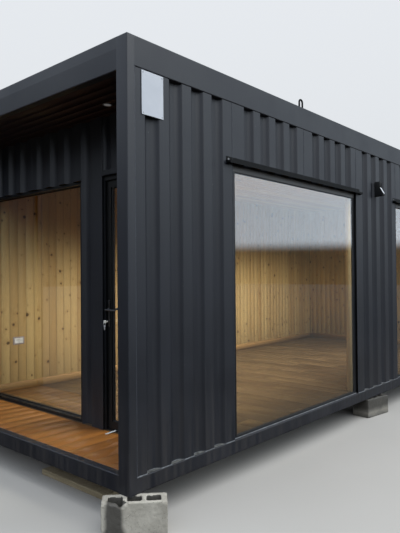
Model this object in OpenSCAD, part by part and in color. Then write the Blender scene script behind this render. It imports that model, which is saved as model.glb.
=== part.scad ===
// Container cabin: a steel-framed room on concrete blocks, with a porch recessed into one end,
// corrugated sheet walls, two floor-to-head windows on one side and a timber-lined inside.
// Millimetres. +Z is up, the porch faces -Y, the windows face +X, the origin is on the ground.

/* [Body] */
// Length over the corner posts, along Y
length = 7200; // [6300:100:8400]
// Width over the corner posts, along X
width = 3000; // [2700:50:3400]
// Height of the steel body, from the underside of its base to the edge of its roof
body_h = 2800; // [2700:20:3000]
// Depth of the porch, from the front of the posts to the wall behind
porch_depth = 550; // [450:10:700]
// Thickness of the walls, from sheet to lining
wall_t = 140; // [120:5:180]

/* [Frame] */
// Face of a corner post, seen from the front
post_w = 100; // [80:5:120]
// Depth of the posts and rails
rail_t = 60; // [50:5:80]
// Height of the side rails under the walls
base_rail_h = 100; // [90:5:108]
// Height of the side rails at the roof
top_rail_h = 193; // [150:1:200]
// Height of the end rails at the roof
fascia_h = 212; // [205:1:260]
// Radius of the rolled edges of the steel sections
rail_r = 8; // [3:1:12]

/* [Corrugated sheet] */
// Distance between grooves
groove_pitch = 215; // [190:5:235]
// Width of a groove at its mouth
groove_mouth = 125; // [90:5:140]
// Width of a groove at its bottom
groove_floor = 75; // [40:5:85]
// Depth of a groove
groove_depth = 36; // [20:1:45]
// How far the grooves of a side panel stand behind its middle
groove_shift = 20; // [0:5:35]
// Thickness of the sheet
sheet_t = 3; // [2:0.5:4]

/* [Openings] */
// Height of the floor and the deck above the underside of the base
floor_rise = 112; // [110:1:125]
// Height of the door and the front glazing above the floor
door_head = 2000; // [1950:10:2100]
// Height of the window heads above the underside of the base
window_head = 2160; // [2100:10:2250]
// Width of the door with its frame
door_frame_w = 825; // [775:5:895]
// Width of the wall strip between the door and the glazing
front_pier_w = 252; // [235:1:400]
// Face of the window frames at their sides
frame_face = 50; // [40:1:70]
// Depth of the window and door frames
frame_t = 50; // [45:1:60]
// How far the frames stand back from the sheet
frame_back = 25; // [15:1:35]

/* [Stand] */
// Length of a concrete block
block_l = 390; // [380:5:400]
// Thickness of a concrete block
block_t = 140; // [140:10:190]
// Height of a concrete block
block_h = 190; // [180:5:200]
// Thickness of the blocks under the middle of the sides
mid_block_t = 190; // [140:10:190]
// Turn of the blocks under the corners
block_turn = 47; // [0:1:50]

/* [Hidden] */
$fn = 48;

steel = "#44484f";
dark_steel = "#26292d";
pine = "#c9a266";
hardwood = "#8a5426";
glass = "#9fb2b5";
concrete = "#a9a49a";

// Levels above the ground
z_base = block_h;
z_rail = z_base + base_rail_h;
z_floor = z_base + floor_rise;
z_top = z_base + body_h;
z_side_head = z_top - top_rail_h;
z_fascia = z_top - fascia_h;
z_door_head = z_floor + door_head;
z_window_head = z_base + window_head;
panel_t = 30;
joist_h = 80;
board_t = 12;
z_joist = z_floor - panel_t - joist_h;
room_h = 2388;
z_ceiling = z_floor + room_h;

// Plan: outer faces, wall planes and the modules that the sheets repeat in
bays = 7;
module_l = length / bays;
x_out = width / 2;
y_front = -length / 2;
y_rear = length / 2;
y_porch = y_front + porch_depth;
sheet_back = 4;
x_lining = x_out - wall_t;
y_lining_front = y_porch + wall_t;
y_lining_rear = y_rear - wall_t;
front_modules = 3;
front_module_l = (width - 2 * rail_t) / front_modules;
porch_module_l = 925;
x_frame_inner = x_out - frame_back - frame_t;
y_window_front = y_front + module_l;
y_window_rear = y_front + 4 * module_l;
window_l = 2 * module_l;
frame_head = 62;
frame_foot = 16;

// Front openings, from the right-hand wall leftwards
x_door_right = x_lining;
x_door_left = x_door_right - door_frame_w;
x_glazing_right = x_door_left - front_pier_w;
x_glazing_left = -x_out + rail_t;
sheet_lap = 25;
x_pier_right = x_door_left + sheet_lap;
x_pier_seam = x_door_left - sheet_lap;

// Door leaf
jamb_w = 32;
head_w = 20;
leaf_gap = 5;
threshold_h = 10;
leaf_t = frame_t - leaf_gap;
leaf_w = door_frame_w - 2 * jamb_w - 2 * leaf_gap;
leaf_h = door_head - threshold_h - head_w - 2 * leaf_gap;
stile_w = 58;
leaf_top_rail = 66;
leaf_bottom_rail = 58;
glass_t = 10;
x_leaf_right = x_door_right - jamb_w - leaf_gap;
x_leaf_left = x_leaf_right - leaf_w;
z_leaf = z_floor + threshold_h + leaf_gap;
y_frame = y_porch + frame_back;
y_leaf = y_frame + leaf_gap;
y_leaf_inner = y_frame + frame_t;
glazing_t = 75;
y_glazing_inner = y_frame + glazing_t;

// Hinge line: in the gap beside the leaf, just inside its inner face
knuckle_r = 8;
knuckle_h = 38;
knuckle_gap = 2;
hinge_plate_w = 30;
hinge_plate_t = 2.5;
x_hinge = x_leaf_right + leaf_gap / 2;
y_hinge = y_leaf_inner + knuckle_r;
hinge_levels = [180, leaf_h / 2, leaf_h - 180];

// Centres of the grooves whose sheet runs from a to b, in modules of length m that start at o
function groove_centres(a, b, o, m) = [
    for (k = [0 : ceil((b - o) / m)])
        for (i = [-1.5 : 1 : 1.5])
            let (c = o + (k + 0.5) * m + i * groove_pitch)
                if (c - groove_mouth / 2 > a + 1 && c + groove_mouth / 2 < b - 1) c
];

// Outline of the sheet's outer face from a to b, stepping into each groove by depth d
function sheet_face(a, b, centres, d) = concat(
    [[a, 0]],
    [
        for (c = centres)
            each [
                [c - groove_mouth / 2, 0], [c - groove_floor / 2, d],
                [c + groove_floor / 2, d], [c + groove_mouth / 2, 0]
            ]
    ],
    [[b, 0]]
);

function shifted(points, s) = [for (p = points) [p[0], p[1] + s]];

function reversed(list) = [for (i = [len(list) - 1 : -1 : 0]) list[i]];

// Section through the corrugated sheet: along X from a to b, outer face towards -Y
module sheet_section(a, b, centres, d = groove_depth) {
    face = sheet_face(a, b, centres, d);
    polygon(concat(face, reversed(shifted(face, sheet_t))));
}

// Upright sheet on the +X side of the cabin, from y = a to b and z = low to high
module side_sheet(a, b, low, high) {
    translate([x_out - sheet_back, 0, low])
        rotate([0, 0, 90])
            linear_extrude(high - low)
                sheet_section(a, b, groove_centres(a, b, y_front + groove_shift, module_l));
}

// Grooves of the porch sheets from x = a to b, and the one groove of the pier, at its left edge
function porch_grooves(a, b) = groove_centres(a, b, -1.5 * porch_module_l, porch_module_l);
pier_groove = [x_glazing_right + groove_mouth / 2 + 5];

// Upright sheet facing the porch, from x = a to b and z = low to high
module porch_sheet(a, b, low, high, centres) {
    translate([0, y_porch, low])
        linear_extrude(high - low)
            sheet_section(a, b, centres);
}

// Box between two corners
module span(low, high) {
    translate(low)
        cube(high - low);
}

// Section of a rolled steel tube: w by d with rounded edges, centred
module rolled_section(w, d, r = rail_r) {
    square([w - 2 * r, d], center = true);
    square([w, d - 2 * r], center = true);
    for (x = [-1, 1], y = [-1, 1])
        translate([x * (w / 2 - r), y * (d / 2 - r)])
            circle(r);
}

// Rolled bar along Y from y = a to b, its section between two corners in X and Z
module bar_along_y(a, b, x, z, w, h) {
    translate([x + w / 2, b, z + h / 2])
        rotate([90, 0, 0])
            linear_extrude(b - a)
                rolled_section(w, h);
}

// Rolled bar along X from x = a to b, its section between two corners in Y and Z
module bar_along_x(a, b, y, z, d, h) {
    translate([a, y + d / 2, z + h / 2])
        rotate([90, 0, 90])
            linear_extrude(b - a)
                rolled_section(d, h);
}

// Copies its children on the four corners of the cabin, mirrored about both middle planes
module on_corners() {
    for (x = [0, 1], y = [0, 1])
        mirror([x, 0, 0])
            mirror([0, y, 0])
                children();
}

module on_both_sides() {
    for (x = [0, 1])
        mirror([x, 0, 0])
            children();
}

// Hollow block standing on the ground, long way along X, with three cores through its height
module hollow_block(t) {
    core_l = 85;
    shell = 30;
    difference() {
        translate([0, 0, block_h / 2])
            cube([block_l, t, block_h], center = true);
        for (x = [-1 : 1])
            translate([x * (core_l + shell), 0, -1])
                linear_extrude(block_h + 2)
                    rolled_section(core_l, t - 2 * shell, 12);
    }
}

// Broken surface: a wedge of the outer shell, l long and h deep, that falls away towards one end
module chip(l, h, slope) {
    rotate([16, slope, 0])
        translate([-l / 2, -40, 0])
            cube([l, 78, h]);
}

// The block by the near corner has lost the top edge of its outer shell along one half
module broken_block() {
    difference() {
        hollow_block(block_t);
        translate([-95, -block_t / 2, block_h - 24])
            chip(170, 60, -5);
        translate([-170, -block_t / 2, block_h - 20])
            chip(90, 60, 11);
    }
}

// Blocks under the corners, turned so that their long sides face outwards, and under the middle of the sides
module foundation_blocks() color(concrete) {
    corner_x = x_out + 23;
    corner_y = length / 2 - 20;
    mid_x = x_out - 47;
    mid_y = -129;
    mid_turn = 82;
    for (x = [-1, 1], y = [-1, 1])
        translate([x * corner_x, y * corner_y, 0])
            rotate([0, 0, -x * y * block_turn])
                if (x > 0 && y < 0)
                    broken_block();
                else
                    hollow_block(block_t);
    on_both_sides()
        translate([mid_x, mid_y, 0])
            rotate([0, 0, mid_turn])
                hollow_block(mid_block_t);
}

module packing_plank() color("#a08b6c")
    span([x_out - 1290, y_front + 160, 0], [x_out - 430, y_front + 350, 42]);

module corner_posts() color(steel)
    on_corners()
        translate([x_out - post_w / 2, y_rear - rail_t / 2, z_base])
            linear_extrude(body_h)
                rolled_section(post_w, rail_t);

// Bottom rails of the two ends; the front one is as high as the deck
module base_rails_end() color(steel) {
    bar_along_x(-x_out + post_w, x_out - post_w, y_front, z_base, rail_t, floor_rise);
    bar_along_x(-x_out + post_w, x_out - post_w, y_rear - rail_t, z_base, rail_t, base_rail_h);
}

module base_rails_side() color(steel)
    on_both_sides()
        bar_along_y(y_front + rail_t, y_rear - rail_t, x_out - rail_t, z_base, rail_t, base_rail_h);

module floor_joists() color(dark_steel) {
    spaces = 12;
    joist_w = 50;
    run = length - 2 * rail_t - joist_w;
    for (i = [0 : spaces])
        translate([0, y_front + rail_t + joist_w / 2 + i * run / spaces, z_joist + joist_h / 2])
            cube([width - 2 * rail_t, joist_w, joist_h], center = true);
}

// Rail over the front, with an upper band that leans back like a folded cover
module folded_fascia() {
    band_h = 76;
    lean = 3;
    difference() {
        bar_along_x(-x_out + post_w, x_out - post_w, y_front, z_fascia, rail_t, fascia_h);
        translate([0, y_front, z_top - band_h])
            rotate([-lean, 0, 0])
                translate([-x_out, -20, 0])
                    cube([width, 20, band_h + 20]);
    }
}

module fascia_rails() color(steel)
    for (y = [0, 1])
        mirror([0, y, 0])
            folded_fascia();

module top_rails_side() color(steel)
    on_both_sides()
        bar_along_y(y_front + rail_t, y_rear - rail_t, x_out - rail_t, z_side_head, rail_t, top_rail_h);

// Roof sheet: shallow ribs across the cabin, let in below the edge of the rails
module roof_sheet() color(steel) {
    rib_depth = 20;
    roof_back = 14;
    a = y_front + rail_t;
    b = y_rear - rail_t;
    translate([-x_out + rail_t, 0, z_top - roof_back])
        mirror([0, 0, 1])
            rotate([90, 0, 90])
                linear_extrude(width - 2 * rail_t)
                    sheet_section(a, b, groove_centres(a, b, y_front, module_l), rib_depth);
}

// Lifting eyes: bent round bar, standing on the side rails over two panel seams
module lifting_eyes() color(dark_steel) {
    bar_r = 8;
    bend_r = 26;
    leg_h = 52;
    for (x = [-1, 1], y = [-1, 1])
        translate([x * (x_out - rail_t / 2), y * 1.5 * module_l, z_top]) {
            for (s = [-1, 1])
                translate([0, s * bend_r, 0])
                    cylinder(r = bar_r, h = leg_h);
            translate([0, 0, leg_h])
                rotate([90, 0, 90])
                    rotate_extrude(angle = 180)
                        translate([bend_r, 0])
                            circle(bar_r, $fn = 24);
        }
}

module wall_left() color(steel)
    mirror([1, 0, 0])
        side_sheet(y_front + rail_t, y_rear - rail_t, z_rail, z_side_head);

module wall_rear() color(steel) {
    a = -x_out + rail_t;
    translate([0, y_rear - sheet_back, z_rail])
        rotate([0, 0, 180])
            linear_extrude(z_fascia - z_rail)
                sheet_section(-x_out + post_w, x_out - post_w, groove_centres(-x_out + post_w,
                    x_out - post_w, a, front_module_l));
}

module wall_right_front() color(steel)
    side_sheet(y_front + rail_t, y_window_front, z_rail, z_side_head);

module wall_right_middle() color(steel)
    side_sheet(y_window_front + window_l, y_window_rear, z_rail, z_side_head);

module wall_right_rear() color(steel)
    side_sheet(y_window_rear + window_l, y_rear - rail_t, z_rail, z_side_head);

module walls_over_windows() color(steel)
    for (y = [y_window_front, y_window_rear])
        side_sheet(y, y + window_l, z_window_head, z_side_head);

// Sheets over the glazing, over the pier and over the door, welded edge to edge
module front_wall_head() color(steel) {
    a = -x_out + rail_t;
    b = x_out - rail_t;
    porch_sheet(a, x_glazing_right, z_door_head, z_fascia, porch_grooves(a, x_glazing_right));
    porch_sheet(x_glazing_right, x_pier_seam, z_door_head, z_fascia, pier_groove);
    porch_sheet(x_pier_seam, b, z_door_head, z_fascia, porch_grooves(x_pier_seam, b));
}

// The sheet between the door and the glazing, and a plain strip between the door and the side wall;
// both lap over the jambs of the door
module front_wall_pier() color(steel) {
    porch_sheet(x_glazing_right, x_pier_right, z_floor, z_door_head, pier_groove);
    span([x_door_right - sheet_lap, y_porch, z_floor], [x_out - rail_t, y_porch + sheet_t, z_door_head]);
}

// Flat sheets that line the sides of the porch
module porch_cheeks() color(steel)
    on_both_sides()
        span([x_out - rail_t - sheet_t, y_front + rail_t, z_floor], [x_out - rail_t, y_porch, z_fascia]);

module porch_deck() color(hardwood)
    span([-x_out + rail_t, y_front + rail_t, z_floor - panel_t], [x_out - rail_t, y_porch, z_floor]);

module porch_ceiling() color("#4a2618")
    span([-x_out + rail_t, y_front + rail_t, z_fascia], [x_out - rail_t, y_porch + wall_t, z_fascia + board_t]);

module porch_downlights() color("#d9d9d4") {
    light_r = 48;
    rim_h = 6;
    for (x = [-1, 1])
        translate([x * 830, y_front + 390, z_fascia - rim_h])
            difference() {
                cylinder(r1 = light_r - 6, r2 = light_r, h = rim_h);
                translate([0, 0, -1])
                    cylinder(r = light_r - 14, h = rim_h / 2 + 1);
            }
}

// Floor panel, up to the inner faces of the window frames
module cabin_floor() color("#7a5a3c")
    span([-x_frame_inner, y_porch, z_floor - panel_t], [x_frame_inner, y_rear - rail_t, z_floor]);

module cabin_ceiling() color(pine)
    span([-x_lining - board_t, y_lining_front - board_t, z_ceiling],
        [x_lining + board_t, y_lining_rear + board_t, z_ceiling + board_t]);

module lining_left() color(pine)
    span([-x_lining - board_t, y_glazing_inner, z_floor], [-x_lining, y_lining_rear, z_ceiling]);

module lining_rear() color(pine)
    span([-x_lining, y_lining_rear, z_floor], [x_lining, y_lining_rear + board_t, z_ceiling]);

// Boards inside the +X wall from y = a to b and z = low to high
module right_boards(a, b, low, high) {
    span([x_lining, a, low], [x_lining + board_t, b, high]);
}

// Three piers between the openings and two heads over the windows, with hairline joints
module lining_right() color(pine) {
    hairline = 1;
    right_boards(y_leaf_inner, y_window_front, z_floor, z_ceiling);
    right_boards(y_window_front + window_l, y_window_rear, z_floor, z_ceiling);
    right_boards(y_window_rear + window_l, y_lining_rear, z_floor, z_ceiling);
    for (y = [y_window_front, y_window_rear])
        right_boards(y + hairline, y + window_l - hairline, z_window_head, z_ceiling);
}

// Boards inside the front wall: one piece over the openings, and one between them
module lining_front() color(pine) {
    hairline = 1;
    span([-x_lining, y_lining_front - board_t, z_door_head], [x_lining, y_lining_front, z_ceiling]);
    span([x_glazing_right, y_lining_front - board_t, z_floor],
        [x_door_left, y_lining_front, z_door_head - hairline]);
}

// Skirting board along the walls, left out across the openings, with hairline joints in the corners
module skirting() color("#8d5f37") {
    skirt_h = 80;
    skirt_t = 12;
    hairline = 1;
    top = z_floor + skirt_h;
    y_corner = y_lining_rear - skirt_t - hairline;
    span([-x_lining, y_lining_front, z_floor], [-x_lining + skirt_t, y_corner, top]);
    span([-x_lining, y_lining_rear - skirt_t, z_floor], [x_lining, y_lining_rear, top]);
    for (run = [[y_lining_front, y_window_front], [y_window_front + window_l, y_window_rear],
            [y_window_rear + window_l, y_corner]])
        span([x_lining - skirt_t, run[0], z_floor], [x_lining, run[1], top]);
    span([x_glazing_right, y_lining_front, z_floor], [x_door_left, y_lining_front + skirt_t, top]);
}

// Boards round the inside of the openings, from the frames to the lining
module opening_reveals() color(pine) {
    y_boards = y_lining_front - board_t;
    hairline = 1;
    for (y = [y_window_front, y_window_rear]) {
        span([x_lining + board_t, y, z_floor], [x_frame_inner, y + board_t, z_window_head]);
        span([x_lining + board_t, y + window_l - board_t, z_floor], [x_frame_inner, y + window_l, z_window_head]);
        span([x_lining + board_t, y + board_t + hairline, z_window_head - board_t],
            [x_frame_inner, y + window_l - board_t - hairline, z_window_head]);
    }
    for (x = [x_glazing_right, x_door_left - board_t])
        span([x, y_leaf_inner, z_floor], [x + board_t, y_boards, z_door_head - hairline]);
    span([-x_lining, y_leaf_inner, z_door_head], [x_lining, y_boards, z_door_head + board_t]);
}

// Window frame on the +X side that starts at y: a ring of aluminium section, its foot let down to the rail
module side_frame(y) {
    x = x_frame_inner;
    difference() {
        span([x, y, z_rail], [x + frame_t, y + window_l, z_window_head]);
        span([x - 1, y + frame_face, z_rail + frame_foot],
            [x + frame_t + 1, y + window_l - frame_face, z_window_head - frame_head]);
    }
}

// Its pane, set close to the outer face of the frame
module side_glass(y) {
    glass_back = 4;
    x = x_frame_inner + frame_t - glass_back - glass_t;
    span([x, y + frame_face, z_rail + frame_foot],
        [x + glass_t, y + window_l - frame_face, z_window_head - frame_head]);
}

module window_frames() color(steel)
    for (y = [y_window_front, y_window_rear])
        side_frame(y);

module window_glass() color(glass, 0.5)
    for (y = [y_window_front, y_window_rear])
        side_glass(y);

// Folded drip flashing over each window
module window_canopies() color(dark_steel) {
    reach = 38;
    overhang = 75;
    fold = 2.5;
    upstand = 32;
    drop = 14;
    for (y = [y_window_front, y_window_rear])
        translate([x_out - sheet_back, y + window_l + overhang, z_window_head + 6])
            rotate([90, 0, 0])
                linear_extrude(window_l + 2 * overhang)
                    polygon([
                        [0, 0], [reach, -6], [reach, -6 - drop], [reach + fold, -6 - drop],
                        [reach + fold, -6 + fold], [fold, fold], [fold, upstand], [0, upstand]
                    ]);
}

// Porch glazing: one fixed pane in a deep frame whose rails are slimmer than its stiles
glazing_stile = 46;
glazing_rail = 25;

module glazing_frame() color(dark_steel)
    difference() {
        span([x_glazing_left, y_frame, z_floor], [x_glazing_right, y_glazing_inner, z_door_head]);
        span([x_glazing_left + glazing_stile, y_frame - 1, z_floor + glazing_rail],
            [x_glazing_right - glazing_stile, y_glazing_inner + 1, z_door_head - glazing_rail]);
    }

module glazing_glass() color(glass, 0.5) {
    glass_back = 50;
    y = y_frame + glass_back;
    span([x_glazing_left + glazing_stile, y, z_floor + glazing_rail],
        [x_glazing_right - glazing_stile, y + glass_t, z_door_head - glazing_rail]);
}

// Door frame: two jambs, a head and a threshold, butted with hairline joints
module door_frame() color(steel) {
    hairline = 0.5;
    for (x = [x_door_left, x_door_right - jamb_w])
        span([x, y_frame, z_floor], [x + jamb_w, y_frame + frame_t, z_door_head]);
    for (run = [[z_floor, z_floor + threshold_h], [z_door_head - head_w, z_door_head]])
        span([x_door_left + jamb_w + hairline, y_frame, run[0]],
            [x_door_right - jamb_w - hairline, y_frame + frame_t, run[1]]);
}

// Stops that the leaf closes against, in front of the frame
module door_stops() color(steel) {
    stop_w = 15;
    stop_t = 12;
    hairline = 0.5;
    x_right = x_door_right - jamb_w;
    x_left = x_door_left + jamb_w;
    y = y_frame - stop_t;
    for (x = [x_left - jamb_w, x_right - stop_w])
        span([x, y, z_floor], [x + jamb_w + stop_w, y_frame, z_door_head]);
    span([x_left + stop_w + hairline, y, z_door_head - head_w - stop_w],
        [x_right - stop_w - hairline, y_frame, z_door_head]);
}

// Fixed halves of the hinges: a knuckle and a plate on the jamb
module door_hinge_knuckles() color(dark_steel)
    for (z = hinge_levels)
        translate([0, 0, z_leaf + z - knuckle_h - knuckle_gap / 2]) {
            translate([x_hinge, y_hinge, 0])
                cylinder(r = knuckle_r, h = knuckle_h);
            span([x_hinge, y_leaf_inner, 0], [x_hinge + hinge_plate_w, y_leaf_inner + hinge_plate_t, knuckle_h]);
        }

// Moving halves of the hinges: a knuckle and a plate on the leaf
module door_hinge_leaves() color(dark_steel)
    for (z = hinge_levels)
        translate([0, 0, z_leaf + z + knuckle_gap / 2]) {
            translate([x_hinge, y_hinge, 0])
                cylinder(r = knuckle_r, h = knuckle_h);
            span([x_hinge - hinge_plate_w, y_leaf_inner, 0], [x_hinge, y_leaf_inner + hinge_plate_t, knuckle_h]);
        }

module door_leaf() color(dark_steel)
    difference() {
        span([x_leaf_left, y_leaf, z_leaf], [x_leaf_right, y_leaf_inner, z_leaf + leaf_h]);
        span([x_leaf_left + stile_w, y_leaf - 1, z_leaf + leaf_bottom_rail],
            [x_leaf_right - stile_w, y_leaf_inner + 1, z_leaf + leaf_h - leaf_top_rail]);
    }

module door_glass() color(glass, 0.5) {
    y = y_leaf + leaf_t / 2 - glass_t / 2;
    span([x_leaf_left + stile_w, y, z_leaf + leaf_bottom_rail],
        [x_leaf_right - stile_w, y + glass_t, z_leaf + leaf_h - leaf_top_rail]);
}

// Lever handle, its plate and the lock cylinder, on one face of the leaf; out points away from the face
module handle_side(out) {
    plate_w = 32;
    plate_h = 210;
    plate_t = 6;
    plate_drop = 30;
    lever_r = 8;
    lever_l = 118;
    lever_out = 46;
    lock_drop = 92;
    rotate([out * 90, 0, 0]) {
        translate([0, -out * plate_drop, 0])
            linear_extrude(plate_t)
                rolled_section(plate_w, plate_h, 6);
        cylinder(r = lever_r, h = lever_out);
        translate([0, 0, lever_out])
            sphere(lever_r);
        translate([0, 0, lever_out])
            rotate([0, 90, 0])
                cylinder(r = lever_r, h = lever_l);
        translate([0, -out * lock_drop, 0])
            cylinder(r = 12, h = plate_t + 6);
    }
}

module door_handle() color("#b9bcc0") {
    handle_rise = 1056 - floor_rise;
    x = x_leaf_left + stile_w / 2;
    translate([x, y_leaf, z_floor + handle_rise])
        handle_side(1);
    translate([x, y_leaf_inner, z_floor + handle_rise])
        handle_side(-1);
}

// Wall lamp: a narrow housing that steps out below, with a sloping pale panel on the step
lamp_w = 44;
lamp_slope_top = [46, 100];
lamp_slope_bottom = [92, 20];

// Places its children against the wall as a profile: X outwards, Y upwards, drawn w wide
module on_lamp_rib(w) {
    lamp_y = -26;
    translate([x_out - sheet_back, lamp_y + w / 2, z_base + 2164])
        rotate([90, 0, 0])
            linear_extrude(w)
                children();
}

module wall_lamp() color(dark_steel)
    on_lamp_rib(lamp_w)
        polygon([[0, 0], [0, 160], [56, 160], lamp_slope_top, lamp_slope_bottom, [87, 4], [10, 0]]);

module wall_lamp_lens() color("white") {
    margin = 4;
    lens_t = 6;
    run = lamp_slope_bottom - lamp_slope_top;
    on_lamp_rib(lamp_w - 2 * margin)
        translate(lamp_slope_top)
            rotate(atan2(run[1], run[0]))
                translate([margin, 0])
                    square([norm(run) - 2 * margin, lens_t]);
}

module wall_socket() color("#ecebe6") {
    plate_l = 132;
    plate_h = 82;
    plate_t = 10;
    well_r = 20;
    translate([-x_lining, y_front + 934, z_base + 633])
        rotate([90, 0, 90])
            difference() {
                linear_extrude(plate_t)
                    rolled_section(plate_l, plate_h, 6);
                for (x = [-1, 1])
                    translate([x * 29, 0, plate_t - 4])
                        cylinder(r = well_r, h = 10);
            }
}

foundation_blocks();
packing_plank();
corner_posts();
base_rails_end();
base_rails_side();
floor_joists();
fascia_rails();
top_rails_side();
roof_sheet();
lifting_eyes();
wall_left();
wall_rear();
wall_right_front();
wall_right_middle();
wall_right_rear();
walls_over_windows();
front_wall_head();
front_wall_pier();
porch_cheeks();
porch_deck();
porch_ceiling();
porch_downlights();
cabin_floor();
cabin_ceiling();
lining_left();
lining_rear();
lining_right();
lining_front();
skirting();
opening_reveals();
window_frames();
window_glass();
window_canopies();
glazing_frame();
glazing_glass();
door_frame();
door_stops();
door_hinge_knuckles();
door_leaf();
door_glass();
door_handle();
door_hinge_leaves();
wall_lamp();
wall_lamp_lens();
wall_socket();
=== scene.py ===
"""Looks of the container cabin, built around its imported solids.

Lengths are in metres in the solids' own frame: the porch faces -Y, the big windows face +X, the ground is z = 0.
"""

import functools
import math

import bmesh
import bpy
import numpy as np
from mathutils import Matrix, Vector


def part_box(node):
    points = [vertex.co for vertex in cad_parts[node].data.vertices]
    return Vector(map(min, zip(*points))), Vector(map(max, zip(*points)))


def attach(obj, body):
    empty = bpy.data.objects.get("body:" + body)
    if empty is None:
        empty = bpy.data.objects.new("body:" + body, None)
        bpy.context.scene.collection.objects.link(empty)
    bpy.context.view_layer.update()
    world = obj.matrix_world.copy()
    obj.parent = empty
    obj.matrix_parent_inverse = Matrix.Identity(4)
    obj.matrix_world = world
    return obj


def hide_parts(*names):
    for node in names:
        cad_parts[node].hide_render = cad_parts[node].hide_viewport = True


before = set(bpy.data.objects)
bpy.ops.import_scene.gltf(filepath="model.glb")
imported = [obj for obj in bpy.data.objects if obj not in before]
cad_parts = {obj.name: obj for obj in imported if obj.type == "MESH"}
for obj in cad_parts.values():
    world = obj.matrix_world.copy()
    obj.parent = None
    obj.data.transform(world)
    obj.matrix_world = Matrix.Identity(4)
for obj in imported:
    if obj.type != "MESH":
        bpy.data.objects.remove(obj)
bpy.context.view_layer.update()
scene = bpy.context.scene
random = np.random.default_rng(20)

# Sizes of the cabin: places along the axes that the names begin with, and lengths. X_OUT and Y_END are half its
# width and length, MODULE is one of the seven panels of a side, and SHEET_BACK is how far the sheets stand back.
X_OUT = 1.500
Y_END = 3.600
Y_PORCH = -3.050
RAIL = 0.060
POST = 0.100
SHEET_BACK = 0.004
MODULE = 2 * Y_END / 7
END_MODULE = (2 * X_OUT - 2 * RAIL) / 3
WINDOW = 2 * MODULE
WINDOW_STARTS = (-Y_END + MODULE, -Y_END + 4 * MODULE)
GROOVE_PITCH = 0.215
GROOVE_MOUTH = 0.125
GROOVE_FLOOR = 0.075
GROOVE_DEPTH = 0.036
GROOVE_SHIFT = 0.020
SHEET = 0.003
X_FACE = X_OUT - SHEET_BACK
Y_FACE = Y_END - SHEET_BACK
Y_INNER = Y_END - RAIL
X_INNER = X_OUT - RAIL

Z_BASE = 0.190
Z_RAIL = 0.290
Z_FLOOR = 0.302
Z_DOOR_HEAD = 2.302
Z_WINDOW_HEAD = 2.350
Z_CEILING = 2.690
Z_FASCIA = 2.778
Z_SIDE_HEAD = 2.797
Z_TOP = 2.990

LINING = 0.012
X_LINING = 1.360
X_FRAME_INNER = 1.425
X_FRAME_OUTER = 1.475
X_PANE = (1.461, 1.471)
FRAME_FACE = 0.050
FRAME_HEAD = 0.062
FRAME_FOOT = 0.016
Y_LINING_FRONT = -2.910
Y_LINING_REAR = 3.460
Y_FRAME_INNER = -2.975
Y_GLAZING_INNER = -2.950
Y_GLAZING_PANE = (-2.975, -2.965)
X_GLAZING = (-1.440, 0.283)
GLAZING_STILE = 0.046
GLAZING_RAIL = 0.025
X_SEAMS = (-0.4625, 0.283, 0.510)
PORCH_MODULE = 0.925
X_DOOR = (0.535, 1.360)

Y_LEAF = -3.020
Y_LEAF_PANE = (-3.0025, -2.9925)
X_LEAF_GLASS = (0.630, 1.265)
Z_LEAF_GLASS = (0.370, 2.216)
X_HANDLE = 0.601
Z_HANDLE = 1.246
X_HINGE = 1.3255
Z_HINGES = (0.497, 1.297, 2.097)

# Ways to place a flat shape, named by where it faces: the directions of its first, second and outward axes
X, Y, Z = np.eye(3)
RIGHTWARDS = (Y, Z, X)
LEFTWARDS = (-Y, Z, -X)
FORWARDS = (X, Z, -Y)
BACKWARDS = (-X, Z, Y)
UPWARDS = (X, Y, Z)
DOWNWARDS = (-X, Y, -Z)


# Shapes as arrays: each is (points, faces), a face being four corner numbers, or three and a -1. A third array, if
# there is one, holds what each point carries: its place in a board's figure, or how damp it is.
def put(points, origin, axes):
    """Moves local points to origin + first * axes[0] + second * axes[1] + third * axes[2]."""
    return np.asarray(origin, float) + np.asarray(points, float) @ np.array(axes)


def joined(*shapes):
    """One shape from several: the points in a row, each face counting on from the shapes before it, and what the
    points carry."""
    starts = np.cumsum([0] + [len(shape[0]) for shape in shapes])
    faces = [np.where(shape[1] < 0, -1, shape[1] + start) for shape, start in zip(shapes, starts)]
    carried = [np.concatenate(values) for values in zip(*[shape[2:] for shape in shapes])]
    return np.concatenate([shape[0] for shape in shapes]), np.concatenate(faces), *carried


def net(rows, columns, round_rows=False, round_columns=False):
    """Quads between neighbouring points of a grid that is numbered row by row."""
    r = np.arange(rows if round_rows else rows - 1)[:, None]
    c = np.arange(columns if round_columns else columns - 1)[None, :]
    r2, c2 = (r + 1) % rows, (c + 1) % columns
    quads = [r * columns + c, r * columns + c2, r2 * columns + c2, r2 * columns + c]
    return np.stack(quads, -1).reshape(-1, 4)


def spaced(first, second, out):
    """A grid of points whose three coordinates are each given for the rows, the columns, both or neither."""
    return np.stack(np.broadcast_arrays(first, second, out), -1).reshape(-1, 3)


def between(front, back, rows, columns):
    """A thin closed body: two grids of points, the second one's faces turned over, and quads round their rims."""
    total = rows * columns
    grid = net(rows, columns)
    rim = np.concatenate([np.arange(columns), np.arange(2, rows) * columns - 1,
                          np.arange(total - 1, total - columns - 1, -1), np.arange(rows - 2, 0, -1) * columns])
    side = np.stack([rim, np.roll(rim, -1), np.roll(rim, -1) + total, rim + total], -1)
    return np.concatenate([front, back]), np.concatenate([grid, grid[:, ::-1] + total, side])


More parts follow.
